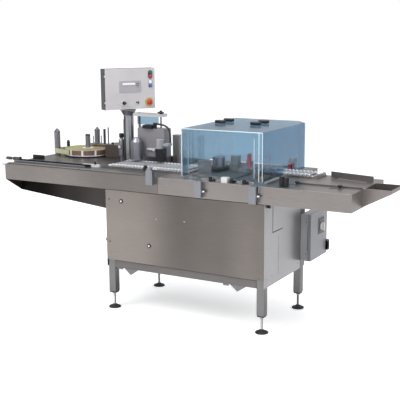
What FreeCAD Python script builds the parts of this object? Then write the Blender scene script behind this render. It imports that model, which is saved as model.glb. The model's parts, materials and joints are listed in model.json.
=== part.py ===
import FreeCAD, Part
import Sketcher
import math
import os
import re
from FreeCAD import Placement, Rotation, Vector

# A horizontal labelling machine for vials: a stainless cabinet on four levelling feet carries
# a long deck.  Vials enter on the left, ride a roller chain past the label head, are wrapped
# under a clear hood, and leave on a second roller chain towards a tray at the right end.
#
# Machine coordinates: X to the right, Y to the back, Z up from the floor, with X = 0 midway
# between the feet and Y = 0 just ahead of the front feet's middles.  The model's own origin is
# the middle of its footprint, (datum_x, datum_y) in machine coordinates.

SIZES = {
    # where the footprint's middle is, and the sheet that the covers are folded from
    "datum_x": -133.25,
    "datum_y": 367.5,
    "sheet_thick": 2,
    # frame of square tube on levelling feet
    "foot_x": 536.5,
    "foot_front": 2,
    "foot_back": 552,
    "tube_side": 50,
    "tube_wall": 2,
    "leg_low": 112,
    "low_rail_z": 280,
    "high_rail_z": 740,
    "pad_radius": 40,
    "pad_tall": 18,
    "stem_radius": 8,
    "nut_radius": 13,
    "gusset_wide": 110,
    "gusset_tall": 40,
    # covers of the cabinet
    "cover_half": 563,
    "cover_front": -31,
    "cover_fold": 6,
    "front_low": 332,
    "side_low": 285,
    "cover_top": 792,
    "side_back": 505,
    "rear_cover_y": 583,
    "slit_wide": 7,
    "slit_low": 604,
    "slit_y": 82,
    "slit_run": 150,
    "lock_radius": 9,
    "lock_head": 14,
    "lock_left_x": -445,
    "lock_left_z": 725,
    "lock_right_x": -239,
    "lock_right_z": 455,
    # deck
    "deck_left_x": -1412,
    "deck_seam_x": -171,
    "deck_step_x": 566,
    "deck_right_x": 1091,
    "deck_front": -25,
    "deck_back": 780,
    "deck_narrow_back": 538,
    "deck_top": 900,
    "skirt_low": 794,
    "web_y": 133,
    "web_back_y": 620,
    "web_left_z": 696,
    "web_right_z": 617,
    # catch tray at the right end
    "tray_y": 152,
    "tray_wide": 211,
    "tray_long": 167,
    "tray_low": 797,
    "tray_tip_low": 885,
    "tray_top": 907,
    # infeed rails on the left deck
    "rail_y": 118,
    "rail_thick": 10,
    "rail_tall": 16,
    "rear_rail_tall": 25,
    "rail_end_x": -795,
    "edge_bar_y": -10,
    "edge_bar_deep": 30,
    "edge_bar_tall": 6,
    "inner_bar_y": 60,
    "inner_bar_deep": 20,
    "inner_bar_tall": 12,
    "adjuster_radius": 13,
    "adjuster_long": 108,
    # roller chains: both have the same loop section and pitch
    "chain_z": 866,
    "band_in": 33,
    "band_thick": 8,
    "band_wide": 8,
    "roller_radius": 10,
    "roller_pitch": 25.4,
    "shaft_radius": 10,
    "shaft_play": 0.05,
    "touch_gap": 0.3,
    "infeed_tail_x": -645,
    "infeed_head_x": -120,
    "infeed_front_y": 162,
    "infeed_roller_long": 226,
    "outfeed_tail_x": 363,
    "outfeed_head_x": 654,
    "outfeed_front_y": 376,
    "outfeed_roller_long": 126,
    "band_inset": 18,
    "plate_gap": 4,
    "plate_thick": 6,
    "plate_low": 830,
    "plate_top": 912,
    "plate_past": 78,
    "slot_gap": 4,
    # wrapping station
    "base_thick": 6,
    "drum_x": 40,
    "drum_y": 385,
    "drum_radius": 70,
    "drum_tall": 22,
    "drum_low": 908,
    "core_radius": 40,
    "core_top": 993,
    "anvil_x": 232,
    "anvil_y": 390,
    "anvil_radius": 55,
    "pin_radius": 4,
    "press_radius": 14,
    "press_low": 932,
    "press_top": 1028,
    "press_x": 271,
    "press_y": 363,
    "turret_x": 380,
    "turret_y": 325,
    "turret_radius": 65,
    "turret_low": 935,
    # clear hood
    "hood_left": -42,
    "hood_right": 512,
    "hood_front": 50,
    "hood_back": 772,
    "hood_low": 905,
    "hood_top": 1205,
    "hood_wall": 5,
    "hood_corner": 85,
    "hood_way_tall": 60,
    "hinge_y": 776,
    "hinge_z": 911,
    "hinge_radius": 5,
    "hinge_pin": 2,
    "seat_radius": 3.6,
    "sheet_right": 460,
    "sheet_corner": 22,
    "sheet_proud": 4,
    "grip_long": 74,
    "grip_wide": 44,
    "grip_tall": 20,
    "grip_left_x": 36,
    "grip_right_x": 289,
    "grip_front_y": 412,
    "grip_back_y": 532,
    # brackets along the front skirt
    "block_wide": 48,
    "block_deep": 32,
    "wheel_radius": 22,
    "wheel_thick": 13,
    "wheel_z": 952,
    "spindle_radius": 5,
    # outfeed rails on the right deck
    "fence_left_x": 788,
    "fence_left_y": 446,
    "fence_right_x": 1078,
    "fence_right_y": 377,
    "fence_thick": 5,
    "fence_low": 903,
    "fence_top": 941,
    "star_radius": 15,
    # label reel
    "reel_x": -1166,
    "reel_y": 600,
    "platter_radius": 175,
    "platter_low": 905,
    "platter_thick": 6,
    "roll_radius": 168,
    "roll_core": 38,
    "roll_tall": 42,
    "hub_radius": 18,
    "hub_top": 1052,
    "guide_left_x": -1385,
    "guide_left_y": 520,
    "guide_left_radius": 23,
    "guide_left_top": 1090,
    "guide_cone_x": -1169,
    "guide_cone_y": 722,
    "guide_cone_radius": 21.5,
    "guide_cone_top": 1070,
    "guide_low": 915,
    "guide_cone_low": 973,
    "arm_low": 962,
    "arm_thick": 8,
    "rewind_left": -985,
    "rewind_top": 990,
    # post and control box
    "post_x": -692,
    "post_y": 436,
    "post_radius": 33,
    "post_top": 1225,
    "collar_radius": 55,
    "collar_top": 1262,
    "panel_turn": 57,
    "panel_wide": 365,
    "panel_tall": 275,
    "panel_low": 1268,
    "panel_front": 40,
    "panel_back": 35,
    "door_thick": 4,
    "edge_out": 4.5,
    "edge_knuckle": 4,
    "edge_pin": 1.5,
    "button_stem": 8,
    "button_radius": 11,
    "mushroom_radius": 18,
    "column_x": 149,
    "start_z": 1512,
    "stop_z": 1486,
    "lamp_z": 1449,
    "reset_z": 1423,
    "stop_all_x": 137,
    "dial_row_z": 1312,
    "speed_x": -49,
    "key_x": 50,
    # label head
    "head_left": -598,
    "head_right": -385,
    "head_front": 404,
    "head_back": 480,
    "head_low": 955,
    "head_top": 1145,
    "bar_low": 1223,
    "bar_top": 1243,
    "hose_radius": 6.5,
    "hose_y": 414,
    "hose_z": 1176,
    "hose_start_x": -452,
    "hose_x": -335,
    "hose_low": 1052,
    "knob_x": -432,
    "knob_y": 440,
    # switch box at the right rear
    "switch_y": 512,
    "switch_long": 278,
    "switch_low": 335,
    "switch_tall": 305,
    "switch_body": 46,
    "switch_lid": 24,
    "isolator_y": 682,
    "isolator_z": 535,
}

doc = FreeCAD.newDocument("vial_labelling_machine")
sheet = doc.addObject("Spreadsheet::Sheet", "dims")
for row, (alias, number) in enumerate(SIZES.items(), 1):
    sheet.set(f"A{row}", alias)
    sheet.set(f"B{row}", str(number))
    sheet.setAlias(f"B{row}", alias)
doc.recompute()
SCRATCH = "D1"

UP = Rotation()
TO_FRONT = Rotation(Vector(1, 0, 0), 90)
TO_BACK = Rotation(Vector(1, 0, 0), -90)
TO_RIGHT = Rotation(Vector(0, 1, 0), 90)
TO_LEFT = Rotation(Vector(0, 1, 0), -90)


def bound(text):
    """The expression for a size, with each cell's alias turned into a reference to it."""
    return re.sub(r"[a-z]\w*", lambda word: "dims." + word.group() if word.group() in SIZES
                  else word.group(), str(text))


def value(text):
    """What a size expression comes to, in millimetres."""
    sheet.set(SCRATCH, f"={text}")
    sheet.recompute()
    return float(sheet.get(SCRATCH))


def spot(at):
    """A point given in machine coordinates, in the model's own frame."""
    x, y, z = at
    return Vector(value(x) - value("datum_x"), value(y) - value("datum_y"), value(z))


def panel_frame():
    """The frame of the control box: its X runs along the door, its Y into the box."""
    return Placement(spot(("post_x", "post_y", 0)), Rotation(Vector(0, 0, 1), value("panel_turn")))


def put(thing, at, turn=UP, on_panel=False):
    """Set a Placement from machine coordinates, or from the control box's own."""
    if on_panel:
        here = Vector(value(at[0]), value(at[1]), value(at[2]))
        thing.Placement = panel_frame().multiply(Placement(here, turn))
    else:
        thing.Placement = Placement(spot(at), turn)
    return thing


def box(size, at, label="block", turn=UP, on_panel=False):
    """A block with one corner at a point."""
    thing = doc.addObject("Part::Box", label)
    for side, text in zip(("Length", "Width", "Height"), size):
        thing.setExpression(side, bound(text))
    return put(thing, at, turn, on_panel)


def span(low, high, label="block", on_panel=False):
    """A block between two opposite corners."""
    size = [f"({b}) - ({a})" for a, b in zip(low, high)]
    return box(size, low, label, UP, on_panel)


def rod(radius, length, at, turn=UP, label="rod", on_panel=False):
    """A round bar that starts at a point and runs the way it is turned."""
    thing = doc.addObject("Part::Cylinder", label)
    thing.setExpression("Radius", bound(radius))
    thing.setExpression("Height", bound(length))
    return put(thing, at, turn, on_panel)


def cone(low_radius, high_radius, length, at, turn=UP, label="cone"):
    thing = doc.addObject("Part::Cone", label)
    thing.setExpression("Radius1", bound(low_radius))
    thing.setExpression("Radius2", bound(high_radius))
    thing.setExpression("Height", bound(length))
    return put(thing, at, turn)


def fuse(label, *pieces):
    thing = doc.addObject("Part::MultiFuse", label)
    thing.Shapes = list(pieces)
    return thing


def cut(label, base, *tools):
    """The base without the tools."""
    thing = doc.addObject("Part::Cut", label)
    thing.Base = base
    thing.Tool = tools[0] if len(tools) == 1 else fuse(label + "_tools", *tools)
    return thing


def group(label, *pieces):
    """Several separate solids that share one name."""
    thing = doc.addObject("Part::Compound", label)
    thing.Links = list(pieces)
    return thing


def outline(body, plane, corners):
    """A closed sketch on one of the body's own planes, each corner bound to the sheet.

    Corners are pairs of sizes from the plane's own origin, none of them negative.
    """
    flat = body.newObject("Sketcher::SketchObject", body.Label + "_outline")
    origin_plane = next(item for item in body.Origin.OriginFeatures if item.Role == plane)
    flat.AttachmentSupport = [(origin_plane, "")]
    flat.MapMode = "FlatFace"
    points = [Vector(value(a), value(b), 0) for a, b in corners]
    for number, point in enumerate(points):
        flat.addGeometry(Part.LineSegment(point, points[(number + 1) % len(points)]), False)
    for number in range(len(points)):
        flat.addConstraint(Sketcher.Constraint("Coincident", number, 2, (number + 1) % len(points), 1))
    for number, (pair, point) in enumerate(zip(corners, points)):
        for kind, axis, text, place in (("DistanceX", -2, pair[0], point.x),
                                        ("DistanceY", -1, pair[1], point.y)):
            if abs(place) < 1e-9:
                flat.addConstraint(Sketcher.Constraint("PointOnObject", number, 1, axis))
            else:
                index = flat.addConstraint(Sketcher.Constraint(kind, -1, 1, number, 1, place))
                flat.setExpression(f"Constraints[{index}]", bound(text))
    return flat


def turned(label, corners, at, turn=UP, on_panel=False):
    """A turned piece: corners are (radius, height) pairs round its half section."""
    body = doc.addObject("PartDesign::Body", label)
    flat = outline(body, "XZ_Plane", corners)
    spun = body.newObject("PartDesign::Revolution", label + "_turned")
    spun.Profile = flat
    spun.ReferenceAxis = (flat, ["V_Axis"])
    spun.Angle = 360
    return put(body, at, turn, on_panel)


def plate(label, plane, corners, thick, at, turn=UP, on_panel=False):
    """A plate or block of one outline, thickened to the side the plane faces."""
    body = doc.addObject("PartDesign::Body", label)
    flat = outline(body, plane, corners)
    pad = body.newObject("PartDesign::Pad", label + "_pad")
    pad.Profile = flat
    pad.setExpression("Length", bound(thick))
    return put(body, at, turn, on_panel)


def tube(axis, length, at):
    """A hollow square bar along X, Y or Z, from its lowest corner."""
    outer = ["tube_side"] * 3
    outer[axis] = length
    inner = ["tube_side - 2 * tube_wall"] * 3
    inner[axis] = length
    start = [f"({place}) + tube_wall" for place in at]
    start[axis] = at[axis]
    return cut("tube", box(outer, at), box(inner, start))


# ---------------------------------------------------------------- frame and feet

def frame_parts():
    half = "tube_side / 2"
    rows = ("foot_front", "foot_back")
    sides = ("-foot_x", "foot_x")
    legs = [tube(2, "deck_top - sheet_thick - leg_low", (f"{x} - {half}", f"{y} - {half}", "leg_low"))
            for x in sides for y in rows]
    rails = []
    for z in ("low_rail_z", "high_rail_z"):
        for y in rows:
            rails.append(tube(0, "2 * foot_x - tube_side", (f"-foot_x + {half}", f"{y} - {half}", z)))
        for x in sides:
            rails.append(tube(1, "foot_back - foot_front - tube_side",
                              (f"{x} - {half}", f"foot_front + {half}", z)))
    for x in ("-foot_x + 95", "foot_x - 205"):
        flap = plate("gusset", "XZ_Plane",
                     [(0, "gusset_tall"), ("gusset_wide", "gusset_tall"), ("gusset_wide * 0.45", 0)],
                     "sheet_thick", (x, "-tube_side / 2 + 6", "low_rail_z - gusset_tall"))
        rails.append(flap)
    feet = []
    for x in sides:
        for y in rows:
            feet.append(turned("pad", [(0, 0), ("pad_radius", 0), ("pad_radius", "pad_tall * 0.4"),
                                       ("pad_radius * 0.45", "pad_tall"), (0, "pad_tall")], (x, y, 0)))
            feet.append(turned("stem", [(0, 0), ("stem_radius", 0),
                                         ("stem_radius", "leg_low - 18 - pad_tall"),
                                         ("nut_radius", "leg_low - 18 - pad_tall"),
                                         ("nut_radius", "leg_low - 8 - pad_tall"),
                                         ("tube_side / 2 - 4", "leg_low - 8 - pad_tall"),
                                         ("tube_side / 2 - 4", "leg_low - pad_tall"),
                                         (0, "leg_low - pad_tall")], (x, y, "pad_tall")))
    return [group("corner_legs", *legs), group("frame_rails", *rails), group("levelling_feet", *feet)]


# ---------------------------------------------------------------- cabinet covers

def cabinet_covers():
    front = cut("front_panel",
                span(("-cover_half", "cover_front", "front_low"),
                     ("cover_half", "cover_front + cover_fold", "cover_top")),
                span(("-cover_half + sheet_thick", "cover_front + sheet_thick", "front_low + sheet_thick"),
                     ("cover_half - sheet_thick", "cover_front + cover_fold + 1",
                      "cover_top - sheet_thick")),
                rod("lock_radius + shaft_play", 12, ("lock_left_x", "cover_front + 8", "lock_left_z"),
                    TO_FRONT),
                rod("lock_radius + shaft_play", 12, ("lock_right_x", "cover_front + 8", "lock_right_z"),
                    TO_FRONT))
    side = cut("side_panel_right",
               span(("cover_half + 0.5", "cover_front", "side_low"),
                    ("cover_half + 0.5 + sheet_thick", "side_back", "cover_top")),
               span(("cover_half", "slit_y", "slit_low"),
                    ("cover_half + 5", "slit_y + slit_wide", "cover_top - 12")),
               span(("cover_half", "slit_y", "slit_low"),
                    ("cover_half + 5", "slit_y + slit_run", "slit_low + slit_wide * 0.7")))
    rear = fuse("rear_cover",
                span(("-cover_half - 0.5 - sheet_thick", "cover_front", "side_low"),
                     ("-cover_half - 0.5", "rear_cover_y", "cover_top")),
                span(("-cover_half - 0.5 - sheet_thick", "rear_cover_y - sheet_thick", "side_low"),
                     ("cover_half", "rear_cover_y", "cover_top")))
    locks = []
    for label, x, z in (("panel_lock_upper", "lock_left_x", "lock_left_z"),
                        ("panel_lock_lower", "lock_right_x", "lock_right_z")):
        blank = turned(label + "_blank", [(0, 0), ("lock_radius", 0), ("lock_radius", 5.8),
                                          ("lock_head", 5.8), ("lock_head", 8), ("lock_head - 2", 9.5),
                                          (0, 9.5)], (x, "cover_front + 5.5", z), TO_FRONT)
        locks.append(cut(label, blank, span((f"{x} - lock_head", "cover_front - 4.5", f"{z} - 1.2"),
                                            (f"{x} + lock_head", "cover_front - 2.2", f"{z} + 1.2"))))
    return [front, side, rear] + locks


# ---------------------------------------------------------------- deck

def chain_slot(tail, head, front, long):
    """The hole in the deck that a roller chain stands in."""
    return span((f"{tail} - plate_past - slot_gap", f"{front} - plate_gap - plate_thick - slot_gap",
                 "deck_top - 20"),
                (f"{head} + plate_past + slot_gap",
                 f"{front} + {long} + plate_gap + plate_thick + slot_gap", "deck_top + 20"))


def infeed_slot():
    return chain_slot("infeed_tail_x", "infeed_head_x", "infeed_front_y", "infeed_roller_long")


def outfeed_slot():
    return chain_slot("outfeed_tail_x", "outfeed_head_x", "outfeed_front_y", "outfeed_roller_long")


def deck_parts():
    under = "deck_top - sheet_thick"
    inside_cap = "deck_left_x + sheet_thick"
    left_cap = plate("cap", "YZ_Plane",
                     [(0, "skirt_low - web_left_z"), ("web_y - deck_front", 0),
                      ("web_back_y - deck_front", 0),
                      ("deck_back - deck_front", "skirt_low - web_left_z"),
                      ("deck_back - deck_front", "deck_top - web_left_z"),
                      (0, "deck_top - web_left_z")],
                     "sheet_thick", ("deck_left_x", "deck_front", "web_left_z"))
    left = cut("left_sheet",
               span((inside_cap, "deck_front", under), ("deck_seam_x - 0.5", "deck_back", "deck_top")),
               infeed_slot())
    left_skirts = [span((inside_cap, "deck_front", "skirt_low"),
                        ("deck_seam_x - 0.5", "deck_front + sheet_thick", under)),
                   span((inside_cap, "deck_back - sheet_thick", "skirt_low"),
                        ("deck_seam_x - 0.5", "deck_back", under))]
    right = cut("deck_right",
                fuse("deck_right_sheets",
                     span(("deck_seam_x", "deck_front", under), ("deck_step_x", "deck_back", "deck_top")),
                     span(("deck_seam_x", "deck_front", under),
                          ("deck_right_x", "deck_narrow_back", "deck_top")),
                     span(("deck_seam_x", "deck_front", "skirt_low"),
                          ("deck_right_x", "deck_front + sheet_thick", "deck_top")),
                     span(("deck_seam_x", "deck_back - sheet_thick", "skirt_low"),
                          ("deck_step_x", "deck_back", "deck_top")),
                     span(("deck_step_x - sheet_thick", "deck_narrow_back - sheet_thick", "skirt_low"),
                          ("deck_step_x", "deck_back", "deck_top")),
                     span(("deck_step_x - sheet_thick", "deck_narrow_back - sheet_thick", "skirt_low"),
                          ("deck_right_x", "deck_narrow_back", "deck_top")),
                     span(("deck_right_x - sheet_thick", "deck_front", "skirt_low"),
                          ("deck_right_x", "deck_narrow_back", "deck_top"))),
                infeed_slot(), outfeed_slot())
    # the tapered trough that stiffens the left overhang, open upwards to the deck
    run = "-cover_half - 3 - deck_left_x - sheet_thick"
    rise = "web_left_z - web_right_z"
    top = "deck_top - sheet_thick - web_right_z"
    side = [(0, rise), (run, 0), (run, top), (0, top)]
    floor = [(0, rise), (run, 0), (run, "sheet_thick"), (0, f"{rise} + sheet_thick")]
    trough = [plate("trough_back", "XZ_Plane", side, "sheet_thick",
                    (inside_cap, "web_back_y", "web_right_z")),
              plate("trough_front", "XZ_Plane", side, "sheet_thick",
                    (inside_cap, "web_y + sheet_thick", "web_right_z")),
              plate("trough_floor", "XZ_Plane", floor, "web_back_y - web_y - 2 * sheet_thick",
                    (inside_cap, "web_back_y - sheet_thick", "web_right_z"))]
    slope = [(0, 0), ("tray_long", "tray_tip_low - tray_low"), ("tray_long", "tray_top - tray_low"),
             (0, "tray_top - tray_low")]
    inside = [("sheet_thick", "2 * sheet_thick"),
              ("tray_long - sheet_thick", "tray_tip_low - tray_low + 1.5 * sheet_thick"),
              ("tray_long - sheet_thick", "tray_top - tray_low + 5"),
              ("sheet_thick", "tray_top - tray_low + 5")]
    tray = cut("catch_tray",
               plate("tray_out", "XZ_Plane", slope, "tray_wide",
                     ("deck_right_x", "tray_y + tray_wide", "tray_low")),
               plate("tray_in", "XZ_Plane", inside, "tray_wide - 2 * sheet_thick",
                     ("deck_right_x", "tray_y + tray_wide - sheet_thick", "tray_low")),
               span(("deck_right_x - 1", "tray_y + sheet_thick", "deck_top"),
                    ("deck_right_x + sheet_thick + 1", "tray_y + tray_wide - sheet_thick", "tray_top + 1")))
    return [group("deck_left", left_cap, left, *left_skirts, *trough), right, tray]


def infeed_rails():
    adjuster = turned("rail_adjuster",
                      [(0, 0), ("adjuster_radius", 0), ("adjuster_radius", "adjuster_long * 0.42"),
                       ("adjuster_radius * 0.6", "adjuster_long * 0.46"),
                       ("adjuster_radius * 0.6", "adjuster_long * 0.62"),
                       ("adjuster_radius * 0.85", "adjuster_long * 0.62"),
                       ("adjuster_radius * 0.85", "adjuster_long"), (0, "adjuster_long")],
                      ("deck_left_x - 4.5", "rail_y + rail_thick / 2", "deck_top + 14"), TO_LEFT)
    bearing = span(("deck_left_x - 4", "rail_y - 6", "deck_top"),
                   ("deck_left_x + 14", "rail_y + rail_thick + 6", "deck_top + rear_rail_tall + 3"))
    rails = group("guide_rails",
                  span(("deck_left_x + 14", "rail_y", "deck_top"),
                       ("rail_end_x", "rail_y + rail_thick", "deck_top + rail_tall")),
                  span(("deck_left_x", "rail_y + 150", "deck_top"),
                       ("deck_left_x + 95", "rail_y + 168", "deck_top + rear_rail_tall")),
                  rod(7, 22, ("rail_end_x + 28", "rail_y + 22", "deck_top + 16")))
    bars = group("edge_bars",
                 bearing,
                 span(("deck_left_x + 7", "edge_bar_y", "deck_top"),
                      ("rail_end_x - 5", "edge_bar_y + edge_bar_deep", "deck_top + edge_bar_tall")),
                 span(("rail_end_x", "edge_bar_y", "deck_top"),
                      ("-252", "edge_bar_y + edge_bar_deep", "deck_top + edge_bar_tall")),
                 span(("deck_left_x + 7", "inner_bar_y", "deck_top"),
                      ("rail_end_x - 10", "inner_bar_y + inner_bar_deep", "deck_top + inner_bar_tall")),
                 span(("rail_end_x - 70", "rail_y + 14", "deck_top"),
                      ("rail_end_x + 62", "rail_y + 33", "deck_top + 16")),
                 span(("deck_left_x - 34", "deck_front", "skirt_low + 99"),
                      ("deck_left_x", "deck_front + 22", "skirt_low + 102")))
    return [adjuster, rails, bars]


# ---------------------------------------------------------------- roller chains

def loop_block(tail, head, reach, y, wide):
    """A block with round ends, as a chain loop's inside or outside."""
    return fuse("loop_block",
                span((tail, y, f"chain_z - ({reach})"), (head, f"{y} + {wide}", f"chain_z + ({reach})")),
                rod(reach, wide, (tail, y, "chain_z"), TO_BACK),
                rod(reach, wide, (head, y, "chain_z"), TO_BACK))


def rollers(label, tail, head, front, long):
    """Carrier rollers standing side by side all the way round the loop."""
    reach = value("band_in + band_thick + touch_gap + roller_radius")
    run = value(head) - value(tail)
    lap = 2 * run + 2 * math.pi * reach
    count = round(lap / value("roller_pitch"))
    pieces = []
    for number in range(count):
        way = lap * number / count
        if way < run:
            place = Vector(way, 0, reach)
        elif way < run + math.pi * reach:
            turn = (way - run) / reach
            place = Vector(run + reach * math.sin(turn), 0, reach * math.cos(turn))
        elif way < 2 * run + math.pi * reach:
            place = Vector(2 * run + math.pi * reach - way, 0, -reach)
        else:
            turn = (way - 2 * run - math.pi * reach) / reach
            place = Vector(-reach * math.sin(turn), 0, -reach * math.cos(turn))
        pieces.append(Part.makeCylinder(value("roller_radius"), value(long), place, Vector(0, 1, 0)))
    thing = doc.addObject("Part::Feature", label)
    thing.Shape = Part.makeCompound(pieces)
    return put(thing, (tail, front, "chain_z"))


def roller_chain(name, tail, head, front, long):
    """The two chain loops with their carrier rollers, and the shafts they run round."""
    bands = []
    near = f"{front} + band_inset"
    far = f"{front} + {long} - band_inset - band_wide"
    for y in (near, far):
        bands.append(cut("band", loop_block(tail, head, "band_in + band_thick", y, "band_wide"),
                         loop_block(tail, head, "band_in", y, "band_wide")))
    carriers = rollers(name + "_rollers", tail, head, front, long)
    chain = group(name + "_chain", carriers, *bands)
    shafts = []
    for end, x in (("tail", tail), ("head", head)):
        start = f"{front} - plate_gap - plate_thick"
        length = f"{long} + 2 * plate_gap + 2 * plate_thick"
        if name == "infeed" and end == "head":
            length += " + 44"
        shafts.append(fuse(f"{name}_{end}_shaft",
                           rod("shaft_radius", length, (x, start, "chain_z"), TO_BACK),
                           rod("band_in - touch_gap", "band_wide", (x, near, "chain_z"), TO_BACK),
                           rod("band_in - touch_gap", "band_wide", (x, far, "chain_z"), TO_BACK)))
    return [chain] + shafts


def side_plate(tail, head, y):
    """One side plate of a chain, bored for both shafts."""
    return cut("side_plate",
               span((f"{tail} - plate_past", y, "plate_low"),
                    (f"{head} + plate_past", f"{y} + plate_thick", "plate_top")),
               rod("shaft_radius + shaft_play", "plate_thick + 2", (tail, f"{y} - 1", "chain_z"), TO_BACK),
               rod("shaft_radius + shaft_play", "plate_thick + 2", (head, f"{y} - 1", "chain_z"), TO_BACK))


def chain_supports():
    plates = []
    for tail, head, front, long in (
            ("infeed_tail_x", "infeed_head_x", "infeed_front_y", "infeed_roller_long"),
            ("outfeed_tail_x", "outfeed_head_x", "outfeed_front_y", "outfeed_roller_long")):
        plates.append(side_plate(tail, head, f"{front} - plate_gap - plate_thick"))
        plates.append(side_plate(tail, head, f"{front} + {long} + plate_gap"))
    plates.append(span(("outfeed_head_x + 64", "outfeed_front_y - plate_gap", "deck_top - 30"),
                       ("outfeed_head_x + plate_past",
                        "outfeed_front_y + outfeed_roller_long + plate_gap", "plate_top + 10")))
    behind = "infeed_front_y + infeed_roller_long + plate_gap + plate_thick"
    motor = fuse("drive_motor",
                 cut("gearbox",
                     span(("infeed_head_x - 48", behind, "chain_z - 62"),
                          ("infeed_head_x + 48", f"{behind} + 60", "chain_z + 28")),
                     rod("shaft_radius + shaft_play", 62, ("infeed_head_x", f"{behind} - 1", "chain_z"),
                         TO_BACK)),
                 rod(40, 175, ("infeed_head_x", f"{behind} + 41", "chain_z - 237")))
    return [group("chain_side_plates", *plates), motor]


# ---------------------------------------------------------------- wrapping station

def wrapping_station():
    floor = "deck_top + base_thick"
    drum = turned("wrap_drum",
                  [("pin_radius * 2 + shaft_play", 0), ("drum_radius", 0), ("drum_radius", "drum_tall"),
                   ("core_radius", "drum_tall"), ("core_radius", "core_top - drum_low"),
                   ("pin_radius * 2 + shaft_play", "core_top - drum_low")],
                  ("drum_x", "drum_y", "drum_low"))
    rollers_pair = []
    for label, x, y, low, high, radius in (
            ("press_roller_front", "press_x", "press_y", "press_low", "press_top", "press_radius"),
            ("press_roller_rear", 462, 565, 915, 985, "press_radius - 1")):
        rollers_pair.append(turned(label, [("pin_radius + shaft_play", 0), (radius, 0),
                                           (radius, f"{high} - {low}"),
                                           ("pin_radius + shaft_play", f"{high} - {low}")], (x, y, low)))
    turret_blank = turned("turret_blank",
                          [("pin_radius * 2 + shaft_play", 0), ("turret_radius", 0),
                           ("turret_radius", 12), (20, 12), (20, 26),
                           ("pin_radius * 2 + shaft_play", 26)],
                          ("turret_x", "turret_y", "turret_low"))
    pockets = []
    for number in range(8):
        turn = math.radians(45 * number + 22.5)
        x = f"turret_x + {math.cos(turn):.4f} * turret_radius"
        y = f"turret_y + {math.sin(turn):.4f} * turret_radius"
        pockets.append(rod("roller_radius", 14, (x, y, "turret_low - 1")))
    turret = cut("star_turret", turret_blank, *pockets)
    base = [span(("hood_left + 14", 140, "deck_top"), ("hood_left + 326", 470, floor)),
            rod("pin_radius * 2", "core_top - 904 + 4", ("drum_x", "drum_y", floor)),
            fuse("anvil",
                 rod("anvil_radius", 18, ("anvil_x", "anvil_y", floor)),
                 rod("anvil_radius * 0.6", 24, ("anvil_x", "anvil_y", floor)),
                 rod("pin_radius", "press_top + 4 - (deck_top + base_thick)",
                     ("press_x", "press_y", floor))),
            span((118, 402, floor), (168, 448, 1000)),
            span((-26, 225, floor), (70, 231, 985)),
            rod("pin_radius * 2", "turret_low + 30 - deck_top", ("turret_x", "turret_y", "deck_top")),
            rod(14, "turret_low - 2 - deck_top - 1", ("turret_x", "turret_y - 30", "deck_top")),
            rod("pin_radius", 92, (462, 565, "deck_top")),
            span((482, 548, "deck_top"), (498, 582, 988))]
    guide = [span((418, 215, "deck_top"), (452, 356, "deck_top + 13")),
             rod(8, 262, (537, 36, "deck_top + 12"), TO_BACK),
             span((527, 60, "deck_top"), (547, 74, "deck_top + 4")),
             span((527, 240, "deck_top"), (547, 254, "deck_top + 4")),
             span((630, 26, "deck_top"), (652, 52, "deck_top + 58")),
             span((658, 26, "deck_top"), (680, 52, "deck_top + 52"))]
    return [drum, turret] + rollers_pair + [group("station_base", *base, *guide)]


# ---------------------------------------------------------------- hood

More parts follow.
